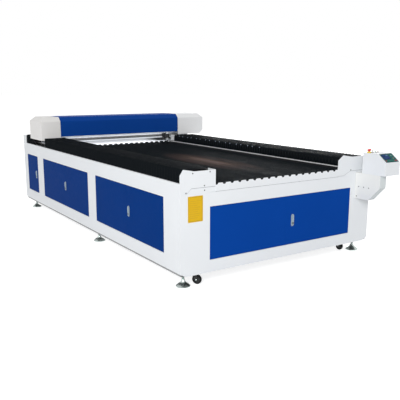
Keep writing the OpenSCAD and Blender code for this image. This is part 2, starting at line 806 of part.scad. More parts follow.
module screws() {
    color([0.55, 0.56, 0.58]) at_origin() {
        for (p = [[52, -72], [110, 66], [260, 68], [211, -30]]) screw_y(p[0], side_top + p[1], -sheet);
        for (p = [[370, -60], [300, 66], [40, 66], [254, -35]])
            screw_y(cab_w - p[0], side_top + p[1], -sheet);
        screw_y(214, side_top - 65, 0);
        for (k = [0.1, 0.4, 0.67, 0.92])
            screw_y(end_w_l + k * (cab_w - end_w_r - end_w_l), comb_z0 + 18, -4);
        for (y = [-40, -95, -150]) screw_x(con_x0, y, con_z - 121);
        screw_x(con_x0, -20, con_z - 209);
    }
}

module blank_plate() {
    color([0.93, 0.72, 0.08]) at_origin() bx([69, -1, side_top - 293], [199, 0, side_top - 100]);
}

// ---------- electronics in the cabinet ----------

module electronics() {
    z = low_z + low_s + 1.5;
    color([0.55, 0.56, 0.58]) at_origin() {
        difference() {
            bx([820, 1100, z], [1180, 1500, z + 180]);
            for (i = [0:11]) bx([810, 1120 + i * 30, z + 40], [835, 1132 + i * 30, z + 140]);
        }
        bx([820, 1600, z], [1100, 2000, z + 120]);
        bx([820, 2100, z], [1220, 2240, z + 160]);
    }
}

// ---------- gantry ----------

module gantry_beam() {
    color([0.68, 0.69, 0.71]) at_origin() difference() {
        bx([40, by0, bz0], [cab_w - 40, by1, bz1]);
        bx([39, by0 + 6, bz0 + 6], [cab_w - 39, by1 - 6, (bz0 + bz1) / 2 - 3]);
        bx([39, by0 + 6, (bz0 + bz1) / 2 + 3], [cab_w - 39, by1 - 6, bz1 - 6]);
        for (z = [bz0 + 20, bz1 - 20]) bx([39, by0 - 1, z - 4], [cab_w - 39, by0 + 4, z + 4]);
    }
}

// one leg: two bearing blocks on the rail, a base plate under the beam and the end plates of the bellows
module gantry_leg(wx, zt) {
    c = 0.2;
    zl = beam_z1 + 34;
    difference() {
        union() {
            for (y = [gy0 + 60, gy1 - 130]) bx([rail_x - 30, y, beam_z1 + 4], [rail_x + 30, y + 70, zl]);
            bx([rail_x - 50, gy0, zl], [rail_x + 60, gy1, bz0]);
            bx([10, gy0 - 2, zl], [wx - 4, gy0, zt - 1]);
            bx([10, gy1 - 2, zl], [wx - 4, gy1, min(zt, cap_z) - 1]);
            bx([rail_x + 50, gy0, zl], [wx - 4, by0 - 15, bz0]);
            bx([wx - 10, gy0 - 2, beam_z1 + 10], [wx - 4, by0 - 15, min(zt, cap_z) - 1]);
        }
        bx([rail_x - 10 - c, gy0 - 5, beam_z1], [rail_x + 10 + c, gy1 + 5, beam_z1 + 20 + c]);
    }
}

module gantry_legs() {
    color([0.9, 0.9, 0.89]) at_origin() {
        gantry_leg(bay_l, bellows_zl);
        mx() gantry_leg(bay_r, bellows_zr);
    }
}

function cover_pts(z0, d) = [[gy0 + d, z0], [gy0 + d, cover_z1 - d * 0.4],
    [gy0 + cover_run + d * 0.4, cover_z2 - d], [gy1 - cover_run - d * 0.4, cover_z2 - d],
    [gy1 - d, cover_z1 - d * 0.4], [gy1 - d, z0]];

module gantry_cover() {
    color([0.06, 0.19, 0.43]) at_origin() difference() {
        prism_x(cover_pts(cover_z0, 0), cov_x0, cov_x1);
        prism_x(cover_pts(cover_z0 - 1, sheet), cov_x0 - 1, cov_x1 + 1);
    }
}

// an end cap; its outer edge slopes too. w is its width from its outer side
module cap(w) {
    zb = cap_z;
    out_c = cap_slope;
    difference() {
        intersection() {
            prism_x(cover_pts(zb, 0), 0, w);
            prism_y([[0, zb], [w, zb], [w, cover_z2], [out_c, cover_z2], [0, cover_z1]], gy0 - 1, gy1 + 1);
        }
        intersection() {
            prism_x(cover_pts(zb - 1, sheet), sheet, w + 1);
            prism_y([[sheet, zb - 2], [w + 2, zb - 2], [w + 2, cover_z2 - sheet],
                [out_c + 1, cover_z2 - sheet], [sheet, cover_z1 - 1]], gy0 - 2, gy1 + 2);
        }
    }
}

module cap_rib(x) {
    bx([x, by0, bz1], [x + 3, by1, cover_z2 - sheet]);
    bx([x, by0, bz1], [x + 40, by1, bz1 + 3]);
}

module cap_left() {
    color([0.9, 0.9, 0.89]) at_origin() union() {
        translate([x_min, 0, 0]) cap(cap_w_l);
        cap_rib(x_min + 150);
    }
}

module cap_right() {
    color([0.9, 0.9, 0.89]) at_origin() union() {
        translate([x_max, 0, 0]) mirror([1, 0, 0]) cap(cap_w_r);
        cap_rib(x_max - 250);
    }
}

module cross_rail() {
    color([0.62, 0.63, 0.65]) at_origin()
        bx([150, by0 - 14, bz0 + 24], [cab_w - 190, by0, bz0 + 44]);
}

module laser_tube() {
    x0 = rib_x[0] - 60;
    x1 = rib_x[2] + 60;
    color([0.85, 0.88, 0.9]) at_origin() translate([x0, tube_y, tube_z]) rotate([0, 90, 0]) difference() {
        union() {
            cylinder(r = tube_r, h = x1 - x0, $fn = 64);
            translate([0, 0, -30]) cylinder(r = 22, h = x1 - x0 + 60, $fn = 64);
        }
        translate([0, 0, 8]) difference() {
            cylinder(r = tube_r - 3, h = x1 - x0 - 16, $fn = 64);
            translate([0, 0, -1]) cylinder(r = 12, h = x1 - x0 - 14, $fn = 64);
        }
        translate([0, 0, -31]) cylinder(r = 9, h = x1 - x0 + 62, $fn = 64);
    }
}

module tube_ribs() {
    m = sheet;
    color([0.25, 0.26, 0.28]) at_origin() {
        for (x = rib_x) difference() {
            prism_x([[by0, bz1], [by1, bz1], [gy1 - 90, bz1 + 32], [gy1 - 90, cover_z2 - m],
                [by0 + 20, cover_z2 - m], [by0, cover_z2 - m - 20]], x - 3, x + 3);
            translate([x - 5, tube_y, tube_z]) rotate([0, 90, 0])
                cylinder(r = tube_r + 0.3, h = 10, $fn = 64);
        }
        // mirror mount at the tube's end
        union() {
            bx([rib_x[2] + 100, by0 + 20, bz1], [rib_x[2] + 130, by1 - 10, bz1 + 6]);
            bx([rib_x[2] + 112, by1 - 50, bz1], [rib_x[2] + 118, by1 - 10, tube_z + 20]);
        }
    }
}

module carriage() {
    c = 0.2;
    color([0.2, 0.21, 0.22]) at_origin() difference() {
        union() {
            bx([head_x - 40, by0 - 26, bz0 + 12], [head_x + 40, by0 - 3, bz0 + 58]);
            bx([head_x - 50, by0 - 32, bz0 - 12], [head_x + 50, by0 - 26, bz0 + 62]);
            bx([head_x - 26, head_y - 6, bz0], [head_x + 26, by0 - 30, bz0 + 52]);
            translate([head_x, head_y, bz0]) cylinder(r = 26, h = 52);
        }
        bx([head_x - 41, by0 - 14 - c, bz0 + 24 - c], [head_x + 41, by0 - 2, bz0 + 44 + c]);
        translate([head_x, head_y, bz0 - 8]) cylinder(r = 18 + fit, h = 66);
    }
}

module focus_barrel() {
    z = bed_z + 14;
    t = bz0 + 60;
    color([0.75, 0.6, 0.3]) at_origin() translate([head_x, head_y, 0]) rotate_extrude($fn = 48)
        polygon([[2, z], [4, z], [9, z + 12], [16, z + 16], [16, z + 22], [22, z + 24], [22, z + 32],
            [18, z + 34], [18, t], [12, t], [12, z + 28], [2, z + 16]]);
}

// ---------- console ----------

module console_arm() {
    color([0.88, 0.89, 0.89]) at_origin() difference() {
        prism_x(arm_pts, con_x0, con_x0 + arm_w);
        prism_x(inset(arm_pts, sheet), con_x0 + sheet, con_x0 + arm_w - sheet);
        translate([con_x0 + arm_w / 2, -5, con_z - 49]) rotate([-90, 0, 0]) cylinder(r = 20, h = 6);
    }
}

module console_box() {
    color([0.93, 0.93, 0.93]) at_origin() difference() {
        prism_x(con_pts, con_x0, con_x0 + console_w);
        prism_x(inset(con_pts, sheet), con_x0 + sheet, con_x0 + console_w - sheet);
        for (p = switch_list) translate([p[0], switch_y, con_z1 - 19]) cylinder(r = p[1] + 0.3, h = 30);
        translate([con_x0 + 24, -console_reach + 89, con_z1]) rotate([slope_a + 180, 0, 0])
            translate([0, 8, -5]) cube([console_w - 48, slope_l - 16, 10]);
    }
}

module keypad_plate() {
    color([0.1, 0.3, 0.3]) at_origin() translate([con_x0 + 14, -console_reach + 89, con_z1])
        rotate([slope_a + 180, 0, 0]) mirror([0, 0, 1]) difference() {
            translate([0, 2, 0]) cube([console_w - 28, slope_l - 4, 1.5]);
            translate([12, 12, 0.8]) cube([84, 62, 2]);
        }
}

module switch_collars() {
    z = con_z1;
    color([0.85, 0.7, 0.1]) at_origin() {
        translate([switch_list[0][0], switch_y, z]) difference() {
            union() {
                translate([0, 0, -14]) cylinder(r = 11, h = 15);
                cylinder(r = 17, h = 12);
            }
            translate([0, 0, -19]) cylinder(r = 8 + fit, h = 40);
        }
        for (i = [1:3]) translate([switch_list[i][0], switch_y, z]) difference() {
            union() {
                translate([0, 0, -14]) cylinder(r = 8, h = 15);
                cylinder(r = 11, h = 4);
            }
            translate([0, 0, -19]) cylinder(r = 5 + fit, h = 30);
        }
        // the lamp that fills the last place
        translate([switch_list[3][0], switch_y, z - 9]) cylinder(r = 5 + fit, h = 15);
    }
}

module stop_button() {
    color([0.8, 0.05, 0.05]) at_origin() translate([switch_list[0][0], switch_y, con_z1])
        rotate_extrude($fn = 48) polygon([[0, -17], [8, -17], [8, 18], [15, 19], [17, 23], [16, 29],
            [10, 34], [0, 35]]);
}

module start_button() {
    color([0.1, 0.5, 0.2]) at_origin() translate([switch_list[2][0], switch_y, con_z1])
        rotate_extrude($fn = 48) polygon([[0, -17], [5, -17], [5, 7], [4, 9], [0, 9]]);
}

module key_switch() {
    color([0.7, 0.71, 0.72]) at_origin() translate([switch_list[1][0], switch_y, con_z1]) union() {
        translate([0, 0, -17]) cylinder(r = 5, h = 24);
        translate([-1, -6, 6]) cube([2, 12, 16]);
    }
}

frame_long_tubes();
frame_posts();
left_panel();
right_panel();
front_panel();
rear_panel();
floor_pan();
service_panels();
rail_beams();
linear_rails();
rail_end_covers();
comb_plates();
slats();
slat_bars();
bed_ledges();
fume_tray();
exhaust_ducts();
rear_ports();
levelling_feet();
front_bellows();
rear_bellows();
hinge_pins();
screws();
blank_plate();
electronics();
console_arm();
console_box();
keypad_plate();
switch_collars();
caster_mounts();
door_left_a();
door_left_b();
door_left_c();
door_left_d();
door_left_e();
door_front_l();
door_front_r();
latch_left_a();
latch_left_c();
latch_left_e();
latch_front();
caster_fork_l();
caster_fork_r();
wheel_fl();
wheel_fr();
wheel_rl();
wheel_rr();
gantry_beam();
gantry_legs();
cap_left();
cap_right();
gantry_cover();
cross_rail();
laser_tube();
tube_ribs();
carriage();
focus_barrel();
stop_button();
start_button();
key_switch();
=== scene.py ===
import json
import math

import bmesh
import bpy
from bpy.props import FloatProperty, FloatVectorProperty, IntProperty, PointerProperty
from bpy.types import Operator, Panel, PropertyGroup
from mathutils import Matrix, Vector


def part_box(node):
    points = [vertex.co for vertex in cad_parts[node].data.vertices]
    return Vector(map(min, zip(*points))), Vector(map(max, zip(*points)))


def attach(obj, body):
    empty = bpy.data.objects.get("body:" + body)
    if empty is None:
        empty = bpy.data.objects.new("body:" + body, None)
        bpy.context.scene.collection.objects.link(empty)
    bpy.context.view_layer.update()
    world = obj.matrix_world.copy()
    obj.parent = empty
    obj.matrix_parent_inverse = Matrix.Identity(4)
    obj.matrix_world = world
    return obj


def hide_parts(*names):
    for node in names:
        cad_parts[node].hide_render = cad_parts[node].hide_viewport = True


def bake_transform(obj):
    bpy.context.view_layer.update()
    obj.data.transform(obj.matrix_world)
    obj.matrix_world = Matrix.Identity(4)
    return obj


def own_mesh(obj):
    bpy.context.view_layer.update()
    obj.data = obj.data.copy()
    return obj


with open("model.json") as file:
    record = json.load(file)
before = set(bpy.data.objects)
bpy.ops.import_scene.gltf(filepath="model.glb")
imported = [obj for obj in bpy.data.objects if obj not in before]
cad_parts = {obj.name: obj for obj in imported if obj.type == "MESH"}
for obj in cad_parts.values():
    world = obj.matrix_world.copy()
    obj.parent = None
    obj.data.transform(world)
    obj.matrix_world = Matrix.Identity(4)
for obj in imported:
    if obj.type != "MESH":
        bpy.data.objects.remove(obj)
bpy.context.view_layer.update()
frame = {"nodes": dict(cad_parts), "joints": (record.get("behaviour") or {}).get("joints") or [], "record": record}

bl_info = {
    "name": "Flatbed Laser Engraver",
    "version": (1, 0, 0),
    "blender": (4, 5, 0),
    "location": "View3D > Sidebar > Laser Bed",
    "description": "Sheet metal, bellows, slatted bed, gantry and console of a laser engraver",
    "category": "Object",
}

# The cabinet's front left corner on the floor. Shapes are drawn in millimetres from it.
CORNER = Vector((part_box("left_panel")[0].x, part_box("front_panel")[0].y, 0.0))
TO_FRAME = Matrix.Translation(CORNER) @ Matrix.Scale(0.001, 4)
FROM_FRAME = TO_FRAME.inverted()

BODY_OF = {n: b for b, nodes in frame["record"]["behaviour"]["bodies"].items() for n in nodes}

# Sizes in millimetres.
SHEET = 2.0  # wall of the gantry's cover and caps
SHOULDER_RISE, SHOULDER_RUN = 47, 50  # slope of the shoulders of the cover and caps
CORNER_CUT = 46  # lower outer corner cut off the right cap
LEG_REACH = 205  # how far in from the cabinet's sides the gantry's legs stay white
RIGHT_COVER_X = 1600  # screws further right than this are in the right end cover
ARM_SCREWS_X = 1740, 1760  # and between these two places they hold the console's arm

REAR_FOLDS = 12  # folds in each rear bellows
GLINT_STRETCH = 0.4, 0.96  # where along the right front bellows some ridges carry painted highlights

WHITE, STEEL, CHROME = "white powder coat", "black oxide steel", "polished chrome"


def span(node):
    """Lowest and highest corner of a CAD node, in millimetres from the cabinet's corner."""
    low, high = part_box(node)
    return FROM_FRAME @ low, FROM_FRAME @ high


# ---------------------------------------------------------------- settings


def colour_setting(name, description, default):
    return FloatVectorProperty(name=name, description=description, subtype="COLOR",
                               size=3, min=0, max=1, default=default)


def number_setting(name, description, least, most, default, **kind):
    return FloatProperty(name=name, description=description, min=least, max=most,
                         default=default, **kind)


class PaintSettings(PropertyGroup):
    panel_white: colour_setting(
        "Panel white", "Powder coat of the cabinet, covers and console", (0.80, 0.825, 0.85))
    # front and side doors share one blue: the front's copy is lighter, painted light, and the sides' copy darker,
    # painted shade
    door_blue: colour_setting("Door blue", "Powder coat of the front doors", (0.003, 0.055, 0.325))
    side_blue: colour_setting(
        "Side blue", "Powder coat of the side doors and service panels", (0.002, 0.037, 0.205))
    cover_blue: colour_setting(
        "Gantry blue", "Powder coat of the gantry's long cover", (0.004, 0.054, 0.295))
    plate_yellow: colour_setting(
        "Plate yellow", "Coat of the blank plate on the front", (0.71, 0.43, 0.006))
    bellows_black: colour_setting(
        "Bellows black", "Coated cloth of the bellows", (0.0045, 0.0062, 0.0078))
    peel: number_setting("Orange peel", "Strength of the fine ripple in the powder coat",
                         0, 1, 0.10, subtype="FACTOR")


class SheetSettings(PropertyGroup):
    fold_radius: number_setting(
        "Fold radius", "Rounding of folded sheet edges, in millimetres", 0.1, 4, 0.6)
    cap_radius: number_setting(
        "Cap radius", "Rounding of the gantry caps' corners, in millimetres", 1, 12, 5)
    bellows_folds: IntProperty(
        name="Folds in a long bellows", description="Number of folds from end cover to gantry",
        min=20, max=160, default=73)
    fold_depth: number_setting("Fold depth", "How far a fold runs in, in millimetres", 3, 14, 11)


class StudioSettings(PropertyGroup):
    key_power: number_setting(
        "Key lamp", "Power of the large lamp at the front left", 0, 5000, 880, unit="POWER")
    fill_power: number_setting(
        "Fill lamp", "Power of the soft lamp at the front right", 0, 5000, 12, unit="POWER")
    back_power: number_setting(
        "Back lamp", "Power of the large lamp behind the right side", 0, 5000, 420, unit="POWER")
    beam_power: number_setting(
        "Beam glow", "Power of the lamp that lights the beam", 0, 50, 0.55, unit="POWER")
    deck_power: number_setting(
        "Deck lamp", "Power of the small lamp over the deck plate", 0, 50, 2.4, unit="POWER")
    sky: number_setting("Room light", "Even light from all round", 0, 3, 0.50)
    lens: number_setting("Lens", "Focal length of the camera", 20, 120, 51.35, unit="CAMERA")


def paints():
    return bpy.context.scene.laser_paint


def sheets():
    return bpy.context.scene.laser_sheet


# ---------------------------------------------------------------- nodes


class Graph:
    """Adds nodes to one tree. A term is another socket, a number, a vector or a colour."""

    def __init__(self, tree):
        self.tree = tree

    def feed(self, socket, term):
        if isinstance(term, bpy.types.NodeSocket):
            self.tree.links.new(term, socket)
        elif isinstance(term, tuple) and len(socket.default_value) == 4:
            socket.default_value = (*term, 1)
        else:
            socket.default_value = term

    def add(self, kind, terms=None, **fields):
        """A new node with its fields set and its inputs fed. Gives its outputs."""
        node = self.tree.nodes.new("ShaderNode" + kind)
        for label, value in fields.items():
            setattr(node, label, value)
        for label, term in (terms or {}).items():
            self.feed(node.inputs[label], term)
        return node.outputs

    def noise(self, vector, scale, detail=2.0):
        terms = {"Vector": vector, "Scale": scale, "Detail": detail, "Roughness": 0.5}
        return self.add("TexNoise", terms)["Fac"]

    def ramp(self, value, low, high, out_low=0.0, out_high=1.0):
        return self.add("MapRange", {"Value": value, "From Min": low, "From Max": high,
                                     "To Min": out_low, "To Max": out_high})["Result"]

    def maths(self, operation, first, second):
        return self.add("Math", {0: first, 1: second}, operation=operation)[0]

    def times(self, first, second):
        return self.maths("MULTIPLY", first, second)

    def plus(self, first, second):
        return self.maths("ADD", first, second)

    def mix(self, mask, first, second):
        """The first colour where the mask is 0 and the second where it is 1."""
        return self.add("Mix", {"Factor": mask, 6: first, 7: second}, data_type="RGBA")[2]

    def stretched(self, vector, scale, move=(0, 0, 0)):
        return self.add("Mapping", {"Vector": vector, "Location": move, "Scale": scale})["Vector"]

    def upward(self):
        """1 on faces that look up, 0 on walls."""
        split = self.add("SeparateXYZ", {0: self.add("NewGeometry")["Normal"]})
        return self.ramp(split["Z"], 0.6, 0.98)

    def seen(self):
        """1 for what the camera sees, straight, in a mirror or through glass."""
        ray = self.add("LightPath")
        first = self.maths("MAXIMUM", ray["Is Camera Ray"], ray["Is Glossy Ray"])
        return self.maths("MAXIMUM", first, ray["Is Transmission Ray"])


def powder_coat(graph, given):
    """Sprayed and baked coat: fine ripple, slow drift of tone, a breath of dust on flat tops."""
    where = given["Vector"]
    drift = graph.times(graph.ramp(graph.noise(where, 2.3, 3), 0.3, 0.7), given["Drift"])
    darker = graph.mix(drift, given["Colour"], (0.0, 0.0, 0.0))
    specks = graph.ramp(graph.noise(where, 420), 0.66, 0.74)
    patches = graph.ramp(graph.noise(where, 14, 4), 0.42, 0.8)
    dust = graph.times(graph.times(graph.upward(), patches), given["Dust"])
    dust = graph.plus(dust, graph.times(specks, graph.times(given["Dust"], 0.12)))
    worn = graph.ramp(graph.noise(where, 30, 3), 0.3, 0.7, -0.05, 0.05)
    rough = graph.plus(given["Roughness"], graph.plus(worn, graph.times(dust, 0.4)))
    ripple = graph.plus(graph.noise(where, 620, 1), graph.times(graph.noise(where, 160, 1), 0.6))
    return graph.mix(dust, darker, (0.45, 0.44, 0.42)), rough, ripple


def worked_metal(graph, given):
    """Drawn, ground or plated metal: long scratches and cloudy plating."""
    where = given["Vector"]
    lines = graph.noise(graph.stretched(where, (900, 6, 900)), 1, 3)
    cloud = graph.ramp(graph.noise(where, 26, 4), 0.3, 0.7)
    dark = graph.mix(graph.times(cloud, given["Cloud"]), given["Colour"], (0.06, 0.065, 0.07))
    rough = graph.plus(given["Roughness"], graph.ramp(lines, 0.3, 0.7, -0.07, 0.09))
    return dark, rough, lines


def zinc_spangle(graph, given):
    """Hot-dip zinc: flat crystals of slightly different greys."""
    cells = graph.add("TexVoronoi", {"Vector": given["Vector"], "Scale": 70})
    grey = graph.add("SeparateColor", {0: cells["Color"]})
    tone = graph.mix(graph.ramp(grey[0], 0, 1, 0, 0.35), given["Colour"], (0.25, 0.26, 0.28))
    return tone, graph.ramp(grey[1], 0, 1, 0.32, 0.55), cells["Distance"]


def coated_cloth(graph, given):
    """Woven cloth under a shiny coat: crossed threads, creases, dust in the folds."""
    where = given["Vector"]
    waves = [graph.add("TexWave", {"Vector": where, "Scale": 260, "Distortion": 0.6},
                       bands_direction=axis)["Fac"] for axis in "XYZ"]
    threads = graph.times(graph.times(waves[0], waves[1]), waves[2])
    crease = graph.noise(graph.stretched(where, (18, 60, 18)), 1, 4)
    dust = graph.ramp(graph.noise(where, 24, 4), 0.45, 0.8, 0.0, 0.03)
    dusty = graph.mix(graph.times(graph.upward(), dust), given["Colour"], (0.30, 0.30, 0.30))
    rough = graph.ramp(crease, 0.3, 0.7, 0.30, 0.52)
    return dusty, rough, graph.plus(threads, graph.times(crease, 1.5))


def bed_blotches(graph, given):
    """A warm brown patch, a paler haze, a pinkish line and lengthwise streaks on the bed."""
    where = given["Vector"]

    def around(place, reach, edge):
        """1 at a place on the bed, falling to 0 at its reach."""
        centre = TO_FRAME @ Vector(place)
        move = tuple(-c / r for c, r in zip(centre, reach))
        ball = graph.stretched(where, tuple(1 / r for r in reach), move)
        fade = graph.add("TexGradient", {"Vector": ball}, gradient_type="SPHERICAL")["Fac"]
        return graph.ramp(fade, 0.0, edge)

    streak = graph.noise(graph.stretched(where, (24, 1.6, 3)), 1, 4)
    patch = graph.times(around((1035, 1150, 770), (0.25, 0.85, 0.5), 0.7),
                        graph.ramp(streak, 0.34, 0.62, 0.25, 1.0))
    haze = graph.times(around((1300, 950, 770), (0.50, 1.0, 0.5), 0.8), 0.30)
    line = graph.times(around((1050, 1180, 770), (0.05, 0.42, 0.5), 0.6), 0.5)
    hazy = graph.mix(haze, given["Colour"], (0.026, 0.029, 0.033))
    blotched = graph.mix(graph.times(patch, given["Amount"]), hazy, given["Tint"])
    return (graph.mix(line, blotched, (0.27, 0.185, 0.165)),
            graph.ramp(streak, 0.3, 0.7, 0.34, 0.6),
            graph.noise(graph.stretched(where, (500, 12, 500)), 1, 2))


GROUPS = {
    "powder coat": (powder_coat, {"Colour": (0.8, 0.8, 0.8), "Drift": 0.04, "Dust": 0.1,
                                  "Roughness": 0.4}),
    "worked metal": (worked_metal, {"Colour": (0.6, 0.6, 0.6), "Cloud": 0.1, "Roughness": 0.3}),
    "zinc spangle": (zinc_spangle, {"Colour": (0.5, 0.5, 0.5)}),
    "coated cloth": (coated_cloth, {"Colour": (0.02, 0.02, 0.02)}),
    "beam scorch": (bed_blotches, {"Colour": (0.02, 0.02, 0.02), "Tint": (0.2, 0.12, 0.08),
                                  "Amount": 0.6}),
}


def shared_group(name):
    """A shader group with Vector and its own inputs, giving Colour, Roughness and Height."""
    tree = bpy.data.node_groups.get(name)
    if tree:
        return tree
    draw, inputs = GROUPS[name]
    tree = bpy.data.node_groups.new(name, "ShaderNodeTree")
    tree.interface.new_socket(name="Vector", in_out="INPUT", socket_type="NodeSocketVector")
    for label, value in inputs.items():
        tinted = isinstance(value, tuple)
        kind = "NodeSocketColor" if tinted else "NodeSocketFloat"
        socket = tree.interface.new_socket(name=label, in_out="INPUT", socket_type=kind)
        socket.default_value = (*value, 1) if tinted else value
    for label, kind in (("Colour", "Color"), ("Roughness", "Float"), ("Height", "Float")):
        tree.interface.new_socket(name=label, in_out="OUTPUT", socket_type="NodeSocket" + kind)
    given, result = tree.nodes.new("NodeGroupInput"), tree.nodes.new("NodeGroupOutput")
    graph = Graph(tree)
    for label, term in zip(("Colour", "Roughness", "Height"), draw(graph, given.outputs)):
        graph.feed(result.inputs[label], term)
    return tree


# ---------------------------------------------------------------- finishes

# A colour is given as itself or as the name of its setting.

# Powder coats: colour, roughness, drift of tone, dust, specular level.
COATS = {
    WHITE: ("panel_white", 0.45, 0.02, 0.03, 0.35),
    "warm white powder coat": ((0.80, 0.79, 0.775), 0.45, 0.03, 0.03, 0.35),
    "console white powder coat": ((0.83, 0.84, 0.82), 0.45, 0.03, 0.03, 0.35),
    # a greyer copy of the console white for the arm's front and lower faces: painted shade
    "pale grey powder coat": ((0.655, 0.70, 0.71), 0.45, 0.03, 0.03, 0.35),
    # a brighter copy of the panel white for the right cap and the ledges' lip: painted light
    "bright white powder coat": ((0.91, 0.92, 0.93), 0.45, 0.03, 0.03, 0.35),
    # one blue in two copies: lighter on the front doors, painted light, darker on the sides, painted shade
    "royal blue powder coat": ("door_blue", 0.5, 0.05, 0.0, 0.01),
    "side blue powder coat": ("side_blue", 0.5, 0.05, 0.0, 0.01),
    "deep blue powder coat": ("cover_blue", 0.5, 0.05, 0.0, 0.04),
    "frame grey": ((0.19, 0.20, 0.205), 0.55, 0.10, 0.25, 0.35),
    "light grey powder coat": ((0.30, 0.305, 0.31), 0.5, 0.04, 0.05, 0.35),
    # a light grey for the aluminium beam, raised to stand in for its reflections: painted reflection
    "silver beam coat": ((0.82, 0.86, 0.91), 0.4, 0.03, 0.02, 0.4),
    # grey for the thin lines under the covers' edges: painted shadow
    "seam shade": ((0.34, 0.35, 0.37), 0.7, 0.02, 0.0, 0.1),
    # a blue-grey non-metal coat for the plated handles: their reflections painted in
    "plated handle": ((0.33, 0.42, 0.48), 0.4, 0.12, 0.0, 0.3),
    "black coat": ((0.014, 0.014, 0.016), 0.38, 0.05, 0.10, 0.35),
    "power unit grey": ((0.36, 0.37, 0.38), 0.5, 0.06, 0.12, 0.35),
    "yellow plate coat": ("plate_yellow", 0.5, 0.05, 0.0, 0.25),
    "plate border": ((0.05, 0.04, 0.02), 0.5, 0.0, 0.0, 0.35),
    "plate ruling": ((0.42, 0.26, 0.02), 0.5, 0.0, 0.0, 0.35),
}

# Metals: colour, roughness, cloudiness, strength of the scratches.
METALS = {
    "bright zinc": ((0.74, 0.76, 0.76), 0.22, 0.30, 0.06),
    "satin aluminium": ((0.62, 0.64, 0.66), 0.38, 0.10, 0.06),
    "ground steel": ((0.52, 0.53, 0.54), 0.25, 0.10, 0.1),
    STEEL: ((0.10, 0.10, 0.105), 0.38, 0.15, 0.06),
    CHROME: ((0.80, 0.81, 0.82), 0.12, 0.06, 0.03),
    "turned brass": ((0.78, 0.56, 0.24), 0.26, 0.14, 0.06),
    "plated foot": ((0.68, 0.76, 0.735), 0.24, 0.6, 0.04),
}

# Plastics and rubber: colour, roughness, specular level.
PLASTICS = {
    "tube end red": ((0.42, 0.03, 0.03), 0.35, 0.4),
    "anodised black": ((0.022, 0.023, 0.026), 0.36, 0.5),
    "teal film": ((0.020, 0.110, 0.098), 0.5, 0.06),
    "film edge": ((0.012, 0.055, 0.075), 0.5, 0.06),
    "screen bezel": ((0.012, 0.024, 0.060), 0.4, 0.06),
    "screen glass": ((0.010, 0.032, 0.130), 0.3, 0.06),
    "screen page": ((0.016, 0.060, 0.20), 0.4, 0.05),
    "screen block": ((0.14, 0.30, 0.42), 0.4, 0.05),
    "dark teal key": ((0.030, 0.17, 0.14), 0.5, 0.06),
    "grey key": ((0.26, 0.36, 0.38), 0.5, 0.1),
    "red key": ((0.40, 0.05, 0.09), 0.5, 0.1),
    "pink key": ((0.50, 0.24, 0.30), 0.5, 0.1),
    "collar yellow": ((0.80, 0.60, 0.07), 0.4, 0.4),
    "lamp lens": ((0.50, 0.12, 0.06), 0.15, 0.5),
    "stop red": ((0.62, 0.012, 0.018), 0.28, 0.5),
    "arrow white": ((0.7, 0.7, 0.7), 0.5, 0.4),
    "start green": ((0.03, 0.30, 0.10), 0.3, 0.5),
    "black rubber tread": ((0.010, 0.0105, 0.012), 0.62, 0.12),
    "hub black": ((0.028, 0.030, 0.032), 0.4, 0.25),
}

# The rest: group, its inputs, strength and depth in millimetres of the bump, plain constants.
OTHERS = {
    "galvanised sheet": ("zinc spangle", {"Colour": (0.50, 0.51, 0.52)}, 0.03, 0.2,
                         {"Metallic": 0.85}),
    "coated bellows cloth": ("coated cloth", {"Colour": "bellows_black"}, 0.35, 0.4,
                             {"Specular IOR Level": 0.03}),
    # light blue-grey on some ridges of the right front bellows: painted highlights
    "worn bellows fold": ("coated cloth", {"Colour": (0.30, 0.34, 0.42)}, 0.35, 0.4,
                          {"Specular IOR Level": 0.1}),
    "scorched black blade": (
        "beam scorch", {"Colour": (0.0105, 0.0135, 0.016), "Tint": (0.125, 0.084, 0.072),
                        "Amount": 0.9}, 0.1, 0.1, {"Specular IOR Level": 0.026}),
    "scorched blade edge": (
        "beam scorch", {"Colour": (0.015, 0.019, 0.023), "Tint": (0.20, 0.142, 0.125),
                        "Amount": 1.0}, 0.1, 0.1, {"Specular IOR Level": 0.015}),
    "clear glass": (
        "powder coat", {"Colour": (0.93, 0.97, 0.98), "Roughness": 0.06, "Drift": 0.02,
                        "Dust": 0.0}, 0.0, 0.2,
        {"Specular IOR Level": 0.5, "Transmission Weight": 0.92, "IOR": 1.47}),
}


def recipe(name):
    """Group, inputs, bump strength, bump depth and plain constants of a finish."""
    if name in COATS:
        colour, rough, drift, dust, specular = COATS[name]
        inputs = {"Colour": colour, "Roughness": rough, "Drift": drift, "Dust": dust}
        peel = paints().peel
        return "powder coat", inputs, peel, 0.15, {"Specular IOR Level": specular}
    if name in METALS:
        colour, rough, cloud, scratches = METALS[name]
        inputs = {"Colour": colour, "Roughness": rough, "Cloud": cloud}
        return "worked metal", inputs, scratches, 0.1, {"Metallic": 1.0}
    if name in PLASTICS:
        colour, rough, specular = PLASTICS[name]
        inputs = {"Colour": colour, "Roughness": rough, "Drift": 0.04, "Dust": 0.02}
        return "powder coat", inputs, 0.05, 0.08, {"Specular IOR Level": specular}
    return OTHERS[name]


